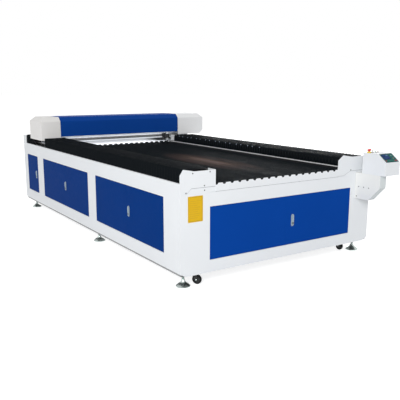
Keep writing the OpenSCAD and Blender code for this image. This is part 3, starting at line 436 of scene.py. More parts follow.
def finish(name):
    """The material of that name, whose colour, roughness and bump come from a shared group."""
    made = bpy.data.materials.get(name)
    if made:
        return made
    group, inputs, bump, bump_mm, plain = recipe(name)
    if isinstance(inputs["Colour"], str):
        setting = getattr(paints(), inputs["Colour"])
        inputs = {**inputs, "Colour": tuple(setting)}
    made = bpy.data.materials.new(name)
    made.use_nodes = True
    shader = made.node_tree.nodes["Principled BSDF"].inputs
    graph = Graph(made.node_tree)
    texture = graph.add("Group", {"Vector": graph.add("TexCoord")["Object"], **inputs},
                        node_tree=shared_group(group))
    graph.feed(shader["Base Color"], texture["Colour"])
    graph.feed(shader["Roughness"], texture["Roughness"])
    if bump:
        relief = graph.add("Bump", {"Strength": bump, "Distance": bump_mm / 1000,
                                    "Height": texture["Height"]})
        graph.feed(shader["Normal"], relief["Normal"])
    for label, value in plain.items():
        shader[label].default_value = value
    return made


# ---------------------------------------------------------------- shaping tools


def merge(bm, part):
    """Adds one part to the piece."""
    held = bpy.data.meshes.new("held part")
    part.to_mesh(held)
    part.free()
    bm.from_mesh(held)
    bpy.data.meshes.remove(held)


def looks_along(face, directions):
    return any(face.normal.dot(Vector(d)) > 0.99 for d in directions)


def round_edges(part, amount, steps, sharp, raw=()):
    """Rounds the edges sharper than an angle, but not those of faces that look a raw way."""
    edges = [e for e in part.edges
             if e.is_manifold and e.calc_face_angle(0) > math.radians(sharp)
             and not any(looks_along(f, raw) for f in e.link_faces)]
    bmesh.ops.bevel(part, geom=edges, offset=amount, offset_type="OFFSET", segments=steps,
                    profile=0.5, affect="EDGES", material=-1, clamp_overlap=True)


def add_part(bm, part, slot=0, round_mm=0.0, steps=2):
    """Closes and cleans one part, rounds its sharp edges and adds it to the piece."""
    bmesh.ops.remove_doubles(part, verts=part.verts, dist=0.0005)
    bmesh.ops.recalc_face_normals(part, faces=part.faces)
    if round_mm:
        round_edges(part, round_mm, steps, 28)
    for face in part.faces:
        face.material_index = slot
    merge(bm, part)


def block(bm, low, high, slot=0, round_mm=0.0, steps=2, turn=Matrix()):
    part = bmesh.new()
    low, high = Vector(low), Vector(high)
    place = Matrix.Translation((low + high) / 2) @ Matrix.Diagonal((*(high - low), 1))
    bmesh.ops.create_cube(part, size=1, matrix=place)
    bmesh.ops.transform(part, matrix=turn, verts=part.verts)
    add_part(bm, part, slot, round_mm, steps)


def picked(kind, grown):
    return [g for g in grown["geom"] if isinstance(g, kind)]


def drawn_out(points, axis, start, end):
    """A flat outline in the other two axes, drawn out along one axis."""
    part = bmesh.new()
    k = "xyz".index(axis)
    face = part.faces.new([part.verts.new((*p[:k], start, *p[k:])) for p in points])
    moved = picked(bmesh.types.BMVert, bmesh.ops.extrude_face_region(part, geom=[face]))
    step = Vector((0, 0, 0))
    step[k] = end - start
    bmesh.ops.translate(part, vec=step, verts=moved)
    return part


def prism(bm, points, axis, start, end, slot=0, round_mm=0.0, steps=2, turn=Matrix()):
    part = drawn_out(points, axis, start, end)
    bmesh.ops.transform(part, matrix=turn, verts=part.verts)
    add_part(bm, part, slot, round_mm, steps)


def spread(low, high, margin, count):
    """Evenly spaced places between two ends, a margin in from each."""
    step = (high - low - 2 * margin) / (count - 1)
    return [low + margin + k * step for k in range(count)]


def facing(centre, direction):
    """A place whose own Z runs along a direction."""
    turn = Vector(direction).to_track_quat("Z", "Y").to_matrix().to_4x4()
    return Matrix.Translation(centre) @ turn


def upright(x, y, z=0):
    return Matrix.Translation((x, y, z))


def turned(bm, profile, place, slot=0, steps=32, round_mm=0.0):
    """A lathe shape: (radius, height) points spun about the place's own Z."""
    part = bmesh.new()
    points = [part.verts.new((r, 0, h)) for r, h in profile]
    line = [part.edges.new(pair) for pair in zip(points, points[1:])]
    if profile[0][0] > 0 and profile[-1][0] > 0:
        line.append(part.edges.new((points[-1], points[0])))
    bmesh.ops.spin(part, geom=points + line, cent=(0, 0, 0), axis=(0, 0, 1), angle=math.tau,
                   steps=steps, use_merge=True, use_duplicate=False)
    bmesh.ops.transform(part, matrix=place, verts=part.verts)
    add_part(bm, part, slot, round_mm)


def pan_head(bm, at, out, r):
    """A screw head with a recess, in the piece's second finish."""
    profile = [(0, 0), (r, 0), (r - 0.2, 0.9), (r - 1.6, 1.3), (r - 2.0, 0.7), (0, 0.7)]
    turned(bm, profile, facing(at, out), 1, 16)


def hexagon(bm, centre, direction, across, height, slot=0):
    part = bmesh.new()
    r = across / math.sqrt(3)
    place = facing(centre, direction) @ upright(0, 0, height / 2)
    bmesh.ops.create_cone(part, cap_ends=True, segments=6, radius1=r, radius2=r,
                          depth=height, matrix=place)
    add_part(bm, part, slot, 0.4)


def thicken(part, wall):
    """Gives an open sheet a wall on its inner side, closed along its free edges."""
    inner = {}
    for v in list(part.verts):
        normals = []
        for f in v.link_faces:
            if f.calc_area() > 1e-6 and all(f.normal.dot(n) < 0.999 for n in normals):
                normals.append(f.normal.copy())
        lean = sum(normals, Vector()).normalized()
        # a corner's inner vertex lies deeper, so that the walls beside it keep their thickness
        slack = min((lean.dot(n) for n in normals), default=1.0)
        inner[v] = part.verts.new(v.co - lean * wall / max(slack, 0.6))
    for f in list(part.faces):
        part.faces.new([inner[v] for v in reversed(f.verts)])
    for e in list(part.edges):
        if len(e.link_faces) == 1 and all(v in inner for v in e.verts):
            loop = e.link_loops[0]
            a, b = loop.vert, loop.link_loop_next.vert
            part.faces.new([b, a, inner[a], inner[b]])


def shell(bm, points, start, end, round_mm, gaps, cuts=()):
    """Folded sheet along X: a solid with rounded folds, its gaps opened, walled inwards."""
    part = drawn_out(points, "x", start, end)
    for place, out in cuts:
        everything = [*part.verts, *part.edges, *part.faces]
        bmesh.ops.bisect_plane(part, geom=everything, plane_co=place, plane_no=out,
                               clear_outer=True)
    if cuts:  # a cut leaves a hole, and the outline is convex
        left = bmesh.new()
        for vert in part.verts:
            left.verts.new(vert.co)
        part.free()
        part = left
        bmesh.ops.remove_doubles(part, verts=part.verts, dist=0.001)
        bmesh.ops.convex_hull(part, input=part.verts)
        bmesh.ops.dissolve_limit(part, angle_limit=math.radians(0.3), verts=part.verts,
                                 edges=part.edges)
    bmesh.ops.recalc_face_normals(part, faces=part.faces)
    round_edges(part, round_mm, 3, 15, gaps)
    gone = [f for f in part.faces if looks_along(f, gaps)]
    bmesh.ops.delete(part, geom=gone, context="FACES")
    bmesh.ops.recalc_face_normals(part, faces=part.faces)
    thicken(part, SHEET)
    merge(bm, part)


def settle(bm, name, finishes, body, stands_for=(), smooth=26.0, even=True):
    """Turns a drawing in millimetres into a piece of the machine, on its body."""
    bmesh.ops.transform(bm, matrix=TO_FRAME, verts=bm.verts)
    mesh = bpy.data.meshes.new(name)
    bm.to_mesh(mesh)
    bm.free()
    for label in finishes:
        mesh.materials.append(finish(label))
    mesh.polygons.foreach_set("use_smooth", [True] * len(mesh.polygons))
    mesh.set_sharp_from_angle(angle=math.radians(smooth))
    piece = bpy.data.objects.new(name, mesh)
    bpy.context.scene.collection.objects.link(piece)
    if even:
        weighed = piece.modifiers.new("flat faces stay flat", "WEIGHTED_NORMAL")
        weighed.keep_sharp = True
        weighed.weight = 90
    if body:
        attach(piece, body)
    if stands_for:
        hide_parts(*stands_for)
    return piece


def stand_in(bm, node, name, finishes, smooth=26.0):
    """Settles the drawing of a piece that replaces one CAD node and rides on its body."""
    settle(bm, name, finishes, BODY_OF[node], [node], smooth)


def cad_copy(node):
    """A merged copy of a CAD node's mesh, in millimetres, with its flat faces joined up."""
    part = bmesh.new()
    part.from_mesh(frame["nodes"][node].data)
    bmesh.ops.transform(part, matrix=FROM_FRAME, verts=part.verts)
    bmesh.ops.remove_doubles(part, verts=part.verts, dist=0.002)
    bmesh.ops.dissolve_degenerate(part, edges=part.edges, dist=0.002)
    bmesh.ops.dissolve_limit(part, angle_limit=math.radians(0.4), verts=part.verts,
                             edges=part.edges)
    return part


def sides_of(node):
    """The inner edge and the top of a node's left half and of its right half."""
    part = cad_copy(node)
    low, high = span(node)
    middle = (low.x + high.x) / 2
    left, right = ([v.co.copy() for v in part.verts if (v.co.x < middle) == half]
                   for half in (True, False))
    part.free()
    return ((max(p.x for p in left), max(p.z for p in left)),
            (min(p.x for p in right), max(p.z for p in right)))


def clusters(node, reach, flat=False):
    """The boxes of a node's loose parts: vertices within reach of a first one."""
    part = cad_copy(node)
    groups = []
    for v in part.verts:
        for group in groups:
            away = v.co - group[0]
            if (away.xy if flat else away).length < reach:
                group.append(v.co.copy())
                break
        else:
            groups.append([v.co.copy()])
    part.free()
    return [[Vector([pick(p[k] for p in group) for k in range(3)]) for pick in (min, max)]
            for group in groups]


def eased(node, finishes, round_mm, extra=None, tone=None, steps=2, sharp=35):
    """A CAD node with eased edges, detail drawn on, and its second finish where tone says."""
    bm = bmesh.new()
    part = cad_copy(node)
    round_edges(part, round_mm, steps, sharp)
    for face in part.faces:
        face.material_index = int(bool(tone and tone(face.calc_center_median())))
    merge(bm, part)
    if extra:
        extra(bm)
    stand_in(bm, node, node + "_eased", finishes)


# ---------------------------------------------------------------- cabinet


class LASER_OT_cabinet(Operator):
    """Side, front and rear panels, end covers and the blank plate"""
    bl_idname = "laser.cabinet"
    bl_label = "Cabinet panels"

    def execute(self, context):
        for node in ("left_panel", "right_panel", "front_panel", "rear_panel"):
            eased(node, [WHITE], sheets().fold_radius)
        # grey strips under the covers' lower edges are painted shadow
        eased("rail_end_covers", [WHITE, "seam shade"], 0.5, self.seams)
        # the rear comb's face towards the bed is dark
        near, far = (span("slats")[1].y + gap for gap in (4, 8.5))
        eased("comb_plates", [WHITE, "black coat"], 0.4, tone=lambda c: near < c.y < far)
        # the ledges take the brighter copy of the white, painted light, and a black strip low on the lip, painted
        # shade
        eased("bed_ledges", ["bright white powder coat", "black coat"], 0.4, self.painted_lip_shade)
        # the darker copy of the blue: painted shade
        eased("service_panels", ["side blue powder coat"], 0.5)
        self.blank_plate()
        return {"FINISHED"}

    def seams(self, bm):
        """Painted shadow: fine grey lines where the covers' lower edges and the comb plate's lower edge lie on the
        front.
        """
        low, high = span("rail_end_covers")
        foot, step = low.z, low.z + 36  # the lower edge of each cover steps up to its outer end
        comb = span("comb_plates")[0].z
        left_end = sides_of("rail_end_covers")[0][0]
        right = high.x - 413  # where the right cover starts
        runs = [((59, foot), (97, step), (left_end, step)), ((left_end, comb), (right + 10, comb)),
                ((right, foot), (right + 75, foot), (right + 150, step), (high.x, step))]
        below, above = 3.2, 0.5  # how far a line reaches to either side of its edge
        for run in runs:
            for (xa, za), (xb, zb) in zip(run, run[1:]):
                strip = [(xa, za - below), (xb, zb - below), (xb, zb + above), (xa, za + above)]
                prism(bm, strip, "y", -0.35, -0.05, 1)

    def painted_lip_shade(self, bm):
        """Painted shade: a black strip over the lower part of the lip between the bed and the right bellows."""
        low, high = span("bed_ledges")
        lip = sides_of("bed_ledges")[1][0]
        block(bm, (lip - 0.5, low.y + 0.5, low.z), (lip + 0.3, high.y - 0.5, high.z - 5), 1)

    def blank_plate(self):
        low, high = span("blank_plate")
        bm = bmesh.new()
        block(bm, (low.x, low.y + 0.15, low.z), high, 0, 0.3, 2)
        inset, line = 7, 1.2
        left, right, foot, top = low.x + inset, high.x - inset, low.z + inset, high.z - inset
        # a plain border, nine ruled lines and a rivet in each corner
        for x0, z0, x1, z1 in ((left, top - line, right, top), (left, foot, right, foot + line),
                               (left, foot, left + line, top), (right - line, foot, right, top)):
            block(bm, (x0, low.y + 0.02, z0), (x1, low.y + 0.2, z1), 1)
        for k in range(9):
            z, end = high.z - 38 - k * 15.5, high.x - 20 - 14 * (k % 3)
            block(bm, (low.x + 20, low.y + 0.05, z), (end, low.y + 0.2, z + 1.6), 2)
        rivet = [(0, 0), (1.9, 0), (1.5, 0.45), (0, 0.55)]
        for x in (low.x + 4, high.x - 4):
            for z in (low.z + 4, high.z - 4):
                turned(bm, rivet, facing((x, low.y + 0.56, z), (0, -1, 0)), 3, 12)
        stand_in(bm, "blank_plate", "blank_plate_face",
                 ["yellow plate coat", "plate border", "plate ruling", "bright zinc"])


# The latch that a door leaf carries, and the leaf that it closes against.
LATCH_OF = {"door_left_a": "latch_left_a", "door_left_c": "latch_left_c",
            "door_left_e": "latch_left_e", "door_front_r": "latch_front"}
PARTNER_OF = {"door_left_b": "door_left_a", "door_left_d": "door_left_c",
              "door_front_r": "door_front_l"}


class LASER_OT_doors(Operator):
    """Door leaves and the latches that shut them"""
    bl_idname = "laser.doors"
    bl_label = "Doors and latches"

    def execute(self, context):
        # the side leaves take the darker copy of the blue, painted shade, and the front leaves the lighter copy,
        # painted light
        leaves = {"side blue powder coat": ["door_left_" + k for k in "abcde"],
                  "royal blue powder coat": ["door_front_l", "door_front_r"]}
        for blue, nodes in leaves.items():
            for node in nodes:
                # escutcheons take the blue-grey coat with painted reflection
                eased(node, [blue, "plated handle", STEEL], 0.7,
                      lambda bm, node=node: self.dress(bm, node), steps=3)
        for node in LATCH_OF.values():
            self.latch(node)
        return {"FINISHED"}

    def dress(self, bm, node):
        """The escutcheon of a leaf with a latch, and the lip that closes a pair's gap."""
        if node in PARTNER_OF:
            low, high = span(node)
            end = span(PARTNER_OF[node])[1]
            foot, top = low.z + 2, high.z - 2
            if "front" in node:
                block(bm, (end.x + 0.25, 0.35, foot), (low.x + 0.4, 1.6, top))
            else:
                block(bm, (0.35, end.y + 0.25, foot), (1.6, low.y + 0.4, top))
        if node in LATCH_OF:
            self.escutcheon(bm, LATCH_OF[node])

    def plated(self, node):
        """A place at the latch on the door's face: X along the door, Y out of it and Z up."""
        low, high = span(node)
        place = Vector([(a + b) / 2 for a, b in zip(low, high)])
        along, out, flat = (0, -1, 0), (-1, 0, 0), 0
        if node == "latch_front":
            along, out, flat = (1, 0, 0), (0, -1, 0), 1
        place[flat] = 0
        return Matrix.Translation(place) @ Matrix((along, out, (0, 0, 1))).transposed().to_4x4()

    def escutcheon(self, bm, node):
        place = self.plated(node)
        half, tall = (16, 50) if node == "latch_front" else (14.5, 46)
        side, end = half - 8, tall - 12  # where the corners are cut
        outline = [(-half, -end), (-side, -tall), (side, -tall), (half, -end),
                   (half, end), (side, tall), (-side, tall), (-half, end)]
        prism(bm, outline, "y", 0.05, 2.4, 1, 0.7, 2, place)
        screw = [(0, 0), (3.2, 0), (3.0, 0.7), (0, 1.0)]
        for z in (-tall + 7, tall - 7):
            turned(bm, screw, place @ facing((0, 2.3, z), (0, 1, 0)), 1, 16)

    def latch(self, node):
        place = self.plated(node)
        bm = bmesh.new()
        block(bm, (-11, 3.0, -40), (11, 7.0, 40), 0, 1.6, 3, place)
        lever = [(-8, -6), (8, -6), (8, 34), (4, 38), (-4, 38), (-8, 34)]
        prism(bm, lever, "y", 6.8, 9.9, 0, 1.2, 3, place)
        lock = [(0, 0), (8.6, 0), (8.6, 2.2), (7.4, 3.0), (0, 3.0)]
        turned(bm, lock, place @ facing((0, 6.8, -24), (0, 1, 0)), 1, 24)
        block(bm, (-0.8, 9.6, -28), (0.8, 9.95, -20), 0, 0.0, 2, place)
        part = cad_copy(node)
        to_door = place.inverted()
        outside = [f for f in part.faces if (to_door @ f.calc_center_median()).y > 0.5]
        bmesh.ops.delete(part, geom=outside, context="FACES")
        add_part(bm, part)
        # the latch takes the blue-grey coat with painted reflection
        stand_in(bm, node, node + "_grip", ["plated handle", STEEL])


class LASER_OT_bellows(Operator):
    """Pleated skins over the side rails, in front of the gantry and behind it"""
    bl_idname = "laser.bellows"
    bl_label = "Bellows"

    def execute(self, context):
        self.pair("front", sheets().bellows_folds)
        self.pair("rear", REAR_FOLDS)
        return {"FINISHED"}

    def pair(self, which, folds):
        node = which + "_bellows"
        low, high = span(node)
        start, end = low.y, high.y
        front = which == "front"
        (left, left_top), (right, right_top) = sides_of(node)
        for side, x0, x1, foot_a, foot_b, top in (
                ("left", low.x, left, low.z + 6, low.z, left_top),
                ("right", right, high.x, low.z, low.z + 6, right_top)):
            bm = bmesh.new()
            # some ridges of the right front bellows get painted highlights
            worn = 1 if front and side == "right" else None
            outline = self.outline(x0, x1, foot_a, foot_b, top)
            self.skin(bm, outline, start, end, folds, worn)
            piece = settle(bm, f"{which}_bellows_{side}",
                           ["coated bellows cloth", "worn bellows fold"],
                           "cabinet" if front else None, [node], 40, False)
            if front:
                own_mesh(piece)
            else:
                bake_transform(piece)

    def travel(self):
        slide = next(j for j in frame["joints"] if j["name"] == "gantry_slide")
        return abs(slide["range_m"][0]) * 1000

    def outline(self, x0, x1, foot_a, foot_b, top):
        """The skin's outer line, from foot to foot: x, z and the way a fold runs in."""
        corner = 14
        return [(x0, foot_a, 1, 0), (x0, top - corner, 1, -1), (x0 + corner - 6, top - 6, 1, -1),
                (x0 + corner, top, 1, -1), (x1 - corner, top, -1, -1),
                (x1, top - corner, -1, -1), (x1, foot_b, -1, 0)]

    def skin(self, bm, outline, start, end, folds, worn):
        """Draws the outline along Y, in and out once a fold. The last argument is the slot of ridges with painted
        highlights.
        """
        pitch = (end - start) / folds
        deep = sheets().fold_depth
        # one fold: how far along it, and how far out, from ridge to ridge
        stations = [(0.0, 1.0), (0.07, 0.95), (0.25, 0.56), (0.42, 0.22), (0.455, 0.17),
                    (0.47, 0.0), (0.53, 0.0), (0.545, 0.17), (0.58, 0.22), (0.75, 0.56),
                    (0.93, 0.95)]
        rows = [(start + (k + s) * pitch, d) for k in range(folds) for s, d in stations]
        part = bmesh.new()
        ring = [part.verts.new((x + sx * deep, start, z + sz * deep)) for x, z, sx, sz in outline]
        edges = [part.edges.new(pair) for pair in zip(ring, ring[1:])]
        glints = set()
        depth, y = 1.0, start
        for y_new, d_new in rows[1:] + [(end, 1.0)]:
            grown = bmesh.ops.extrude_edge_only(part, edges=edges)
            edges = picked(bmesh.types.BMEdge, grown)
            verts = picked(bmesh.types.BMVert, grown)
            verts.sort(key=lambda v: nearest(v, ring))
            fold = round((y - start) / pitch)
            # ridge faces in the stretch take the light blue-grey: painted highlights
            ridge = worn is not None and max(depth, d_new) > 0.94
            # two ridges in five, out of step
            if ridge and GLINT_STRETCH[0] < fold / folds < GLINT_STRETCH[1] and fold * 7 % 5 < 2:
                rim = set(ring[2:4])
                glints.update(f for v in verts[2:4] for f in v.link_faces
                            if len(rim & set(f.verts)) > 1)
            shift = (d_new - depth) * deep
            for vert, (_, _, sx, sz) in zip(verts, outline):
                vert.co += Vector((sx * shift, y_new - y, sz * shift))
            ring, depth, y = verts, d_new, y_new
        for face in glints:
            face.material_index = worn
        bmesh.ops.recalc_face_normals(part, faces=part.faces)
        if sum(f.normal.z * f.calc_area() for f in part.faces) < 0:
            bmesh.ops.reverse_faces(part, faces=part.faces)
        thicken(part, 0.9)
        merge(bm, part)


def nearest(vert, ring):
    """Which vertex of the last ring this new one was drawn from."""
    return min(range(len(ring)), key=lambda k: (ring[k].co - vert.co).length)


class LASER_OT_bed(Operator):
    """Blades, their bars, the fume tray and the ducts under the bed"""
    bl_idname = "laser.bed"
    bl_label = "Slatted bed"

    def execute(self, context):
        top = span("slats")[1].z
        eased("slats", ["scorched black blade", "scorched blade edge"], 0.7,
              tone=lambda c: c.z > top - 0.1, sharp=40)
        eased("slat_bars", ["black coat"], 1.2)
        eased("fume_tray", ["galvanised sheet"], 0.6)
        self.ducts()
        return {"FINISHED"}

    def ducts(self):
        low, high = span("exhaust_ducts")
        plate_y = span("rear_panel")[1].y
        bm = bmesh.new()
        r, z = (high.z - low.z) / 2, (high.z + low.z) / 2
        long, wall = high.y - low.y, 1.9
        run, seat = r - 0.8, plate_y + 2 - low.y
        pipe = [(r - wall, 0), (run, 0)]
        for h in (180, 360, 540):
            pipe += [(run, h - 4), (run - 0.7, h - 2), (run - 0.7, h + 2), (run, h + 4)]
        pipe += [(run, seat), (r, seat), (r, long - 18), (r - 0.9, long - 16),
                 (r - 0.9, long - 12), (r, long - 10), (r, long), (r - wall, long)]
        ring = [(r + 0.3, 0), (r + 18, 0), (r + 18, 1.6), (r + 3, 1.6), (r + 1.2, 5), (r + 0.3, 5)]
        for x in (low.x + r, high.x - r):
            turned(bm, pipe, facing((x, low.y, z), (0, 1, 0)), 0, 64)
            for k in range(8):
                turn, out = math.tau * k / 8, r + 9
                at = (x + out * math.cos(turn), plate_y, z + out * math.sin(turn))
                hexagon(bm, at, (0, 1, 0), 7, 3.2, 1)
            turned(bm, ring, facing((x, plate_y, z), (0, 1, 0)), 0, 64)
        stand_in(bm, "exhaust_ducts", "exhaust_spigots", ["galvanised sheet", STEEL])


class LASER_OT_gantry(Operator):
    """Cover, caps, beam, legs, rail and laser tube of the moving gantry"""
    bl_idname = "laser.gantry"
    bl_label = "Gantry"

    def execute(self, context):
        self.cover()
        self.cap("cap_left", -1, "warm white powder coat")
        # the right cap takes the brighter copy of the white: painted light
        self.cap("cap_right", 1, "bright white powder coat")
        self.beam()
        wide = span("front_panel")[1].x
        eased("gantry_legs", [WHITE, "black coat"], 0.6,
              tone=lambda c: not LEG_REACH < c.x < wide - LEG_REACH)
        self.rail()
        self.tube()
        eased("tube_ribs", ["power unit grey"], 0.5)
        return {"FINISHED"}

    def section(self, low, high):
        """The gantry's outline seen from the side: upright faces and sloped shoulders."""
        shoulder, run = high.z - SHOULDER_RISE, SHOULDER_RUN
        return [(low.y, low.z), (low.y, shoulder), (low.y + run, high.z),
                (high.y - run, high.z), (high.y, shoulder), (high.y, low.z)]

    def cover(self):
        low, high = span("gantry_cover")
        bm = bmesh.new()
        gaps = [(1, 0, 0), (-1, 0, 0), (0, 0, -1)]
        shell(bm, self.section(low, high), low.x, high.x, 5.0, gaps)
        x, y = (low.x + high.x) / 2, (low.y + high.y) / 2
        inset, apart = 26, 260  # screws: in from the ends, and either side of the middle
        for at in (low.x + inset, x - apart, x + apart, high.x - inset):
            for face, out in ((low.y, -1), (high.y, 1)):
                pan_head(bm, (at, face - out * 1.3, low.z + 62), (0, out, 0), 4.2)
        # two pads on the lid
        for at in (low.x + 300, high.x - 300):
            block(bm, (at - 45, y - 14, high.z - 1.4), (at + 45, y + 14, high.z - 0.1), 1, 0.5)
        stand_in(bm, "gantry_cover", "gantry_long_cover", ["deep blue powder coat", STEEL], 20)

    def cap(self, node, outward, coat):
        low, high = span(node)
        end = low.x if outward < 0 else high.x
        slope = Vector((outward * SHOULDER_RISE, 0, SHOULDER_RUN)).normalized()
        cuts = [(Vector((end, 0, high.z - SHOULDER_RISE)), slope)]
        if outward > 0:
            under = Vector((CORNER_CUT, 0, -CORNER_CUT)).normalized()
            cuts.append((Vector((end, 0, low.z + CORNER_CUT)), under))
        bm = bmesh.new()
        gaps = [(-outward, 0, 0), (0, 0, -1)]
        shell(bm, self.section(low, high), low.x, high.x, sheets().cap_radius, gaps, cuts)
        for face, out in ((low.y, -1), (high.y, 1)):
            for inset in (40, 180):  # screws, in from the outer end
                at = (end - outward * inset, face - out * 1.3, low.z + 20)
                pan_head(bm, at, (0, out, 0), 4.0)
        stand_in(bm, node, node + "_shell", [coat, STEEL], 20)

    def beam(self):
        low, high = span("gantry_beam")
        middle = (low.z + high.z) / 2
        bolt = [(0, 0), (4.2, 0), (4.0, 2.2), (2.6, 2.4), (2.3, 1.0), (0, 1.0)]

        def slot_shade(bm):
            # black strips stand for the shade inside the beam's slots: painted shade
            for z in (low.z + 14, middle, high.z - 14):
                block(bm, (low.x + 3, low.y - 0.3, z - 1.2), (high.x - 3, low.y + 0.6, z + 1.2), 1)
            for x in spread(low.x, high.x, 190, 13):
                turned(bm, bolt, facing((x, low.y - 0.2, middle - 20), (0, -1, 0)), 2, 16)

        # the beam's light coat holds painted reflection
        eased("gantry_beam", ["silver beam coat", "black coat", STEEL], 0.8, slot_shade)

    def rail(self):
        low, high = span("cross_rail")
        disc = [(0, 0), (4.4, 0), (4.2, 0.35), (0, 0.4)]

        def hole_shade(bm):
            # dark discs stand for the shade in the rail's holes: painted shade
            for x in spread(low.x, high.x, 20, 28):
                at = (x, low.y + 0.37, (low.z + high.z) / 2)
                turned(bm, disc, facing(at, (0, -1, 0)), 1, 12)

        eased("cross_rail", ["ground steel", STEEL], 0.5, hole_shade)

    def tube(self):
        low, high = span("laser_tube")
        y, z, r = (low.y + high.y) / 2, (low.z + high.z) / 2, (high.z - low.z) / 2
        bm = bmesh.new()
        long = high.x - low.x
        place = facing((low.x, y, z), (1, 0, 0))
        # water jacket, bore and discharge tube, then the red ends and the metal electrodes
        jacket = [(r - 2.4, 40), (r - 1.0, 36), (r, 44),
                  (r, long - 44), (r - 1.0, long - 36), (r - 2.4, long - 40)]
        turned(bm, jacket, place, 0, 48)
        for inner, outer, inset, steps in ((15, 17, 60, 24), (5, 7, 70, 20)):
            wall = [(inner, inset), (outer, inset), (outer, long - inset), (inner, long - inset)]
            turned(bm, wall, place, 0, steps)
        for h in (0, long - 44):
            end = [(0, h), (r - 7, h), (r - 4, h + 4), (r - 1.2, h + 10), (r - 1.2, h + 34),
                   (r - 6, h + 44), (0, h + 44)]
            turned(bm, end, place, 1, 40)
        for h in (120, long - 150):
            turned(bm, [(8, h), (14, h), (14, h + 30), (8, h + 30)], place, 2, 24)
        stand_in(bm, "laser_tube", "glass_laser_tube", ["clear glass", "tube end red", CHROME])


class LASER_OT_head(Operator):
    """The cutting head: carriage, focus barrel and nozzle"""
    bl_idname = "laser.head"
    bl_label = "Cutting head"

    def execute(self, context):
        low, high = span("carriage")
        bolt = [(0, 0), (3.6, 0), (3.6, 1.6), (2.2, 1.8), (1.9, 0.7), (0, 0.7)]

        def fittings(bm):
            for x in (low.x + 9, high.x - 9):
                for z in (low.z + 9, high.z - 9):
                    turned(bm, bolt, facing((x, high.y - 32.0, z), (0, -1, 0)), 1, 14)

        eased("carriage", ["anodised black", CHROME], 0.8, fittings)
        self.barrel()
        return {"FINISHED"}

    def barrel(self):
        low, high = span("focus_barrel")
        place = upright((low.x + high.x) / 2, (low.y + high.y) / 2, low.z)
        top = high.z - low.z
        bm = bmesh.new()
        nozzle = [(2, 0), (4, 0), (5, 3), (9, 12), (16, 16), (16, 21), (15.2, 21.5), (15.2, 22.5),
                  (16, 23), (2.6, 23), (2.2, 12)]
        turned(bm, nozzle, place, 0, 40)
        ring = [(16.2, 23.4), (21.2, 24)]
        for k in range(4):
            ring += [(22, 24.4 + k * 1.9), (21.0, 25.4 + k * 1.9)]
        ring += [(21.2, 32), (18, 34), (18, top - 1), (17, top), (12.5, top), (12, top - 1),
                 (12, 28)]
        turned(bm, ring, place, 1, 48)
        stand_in(bm, "focus_barrel", "focus_barrel_body", [CHROME, "satin aluminium"])


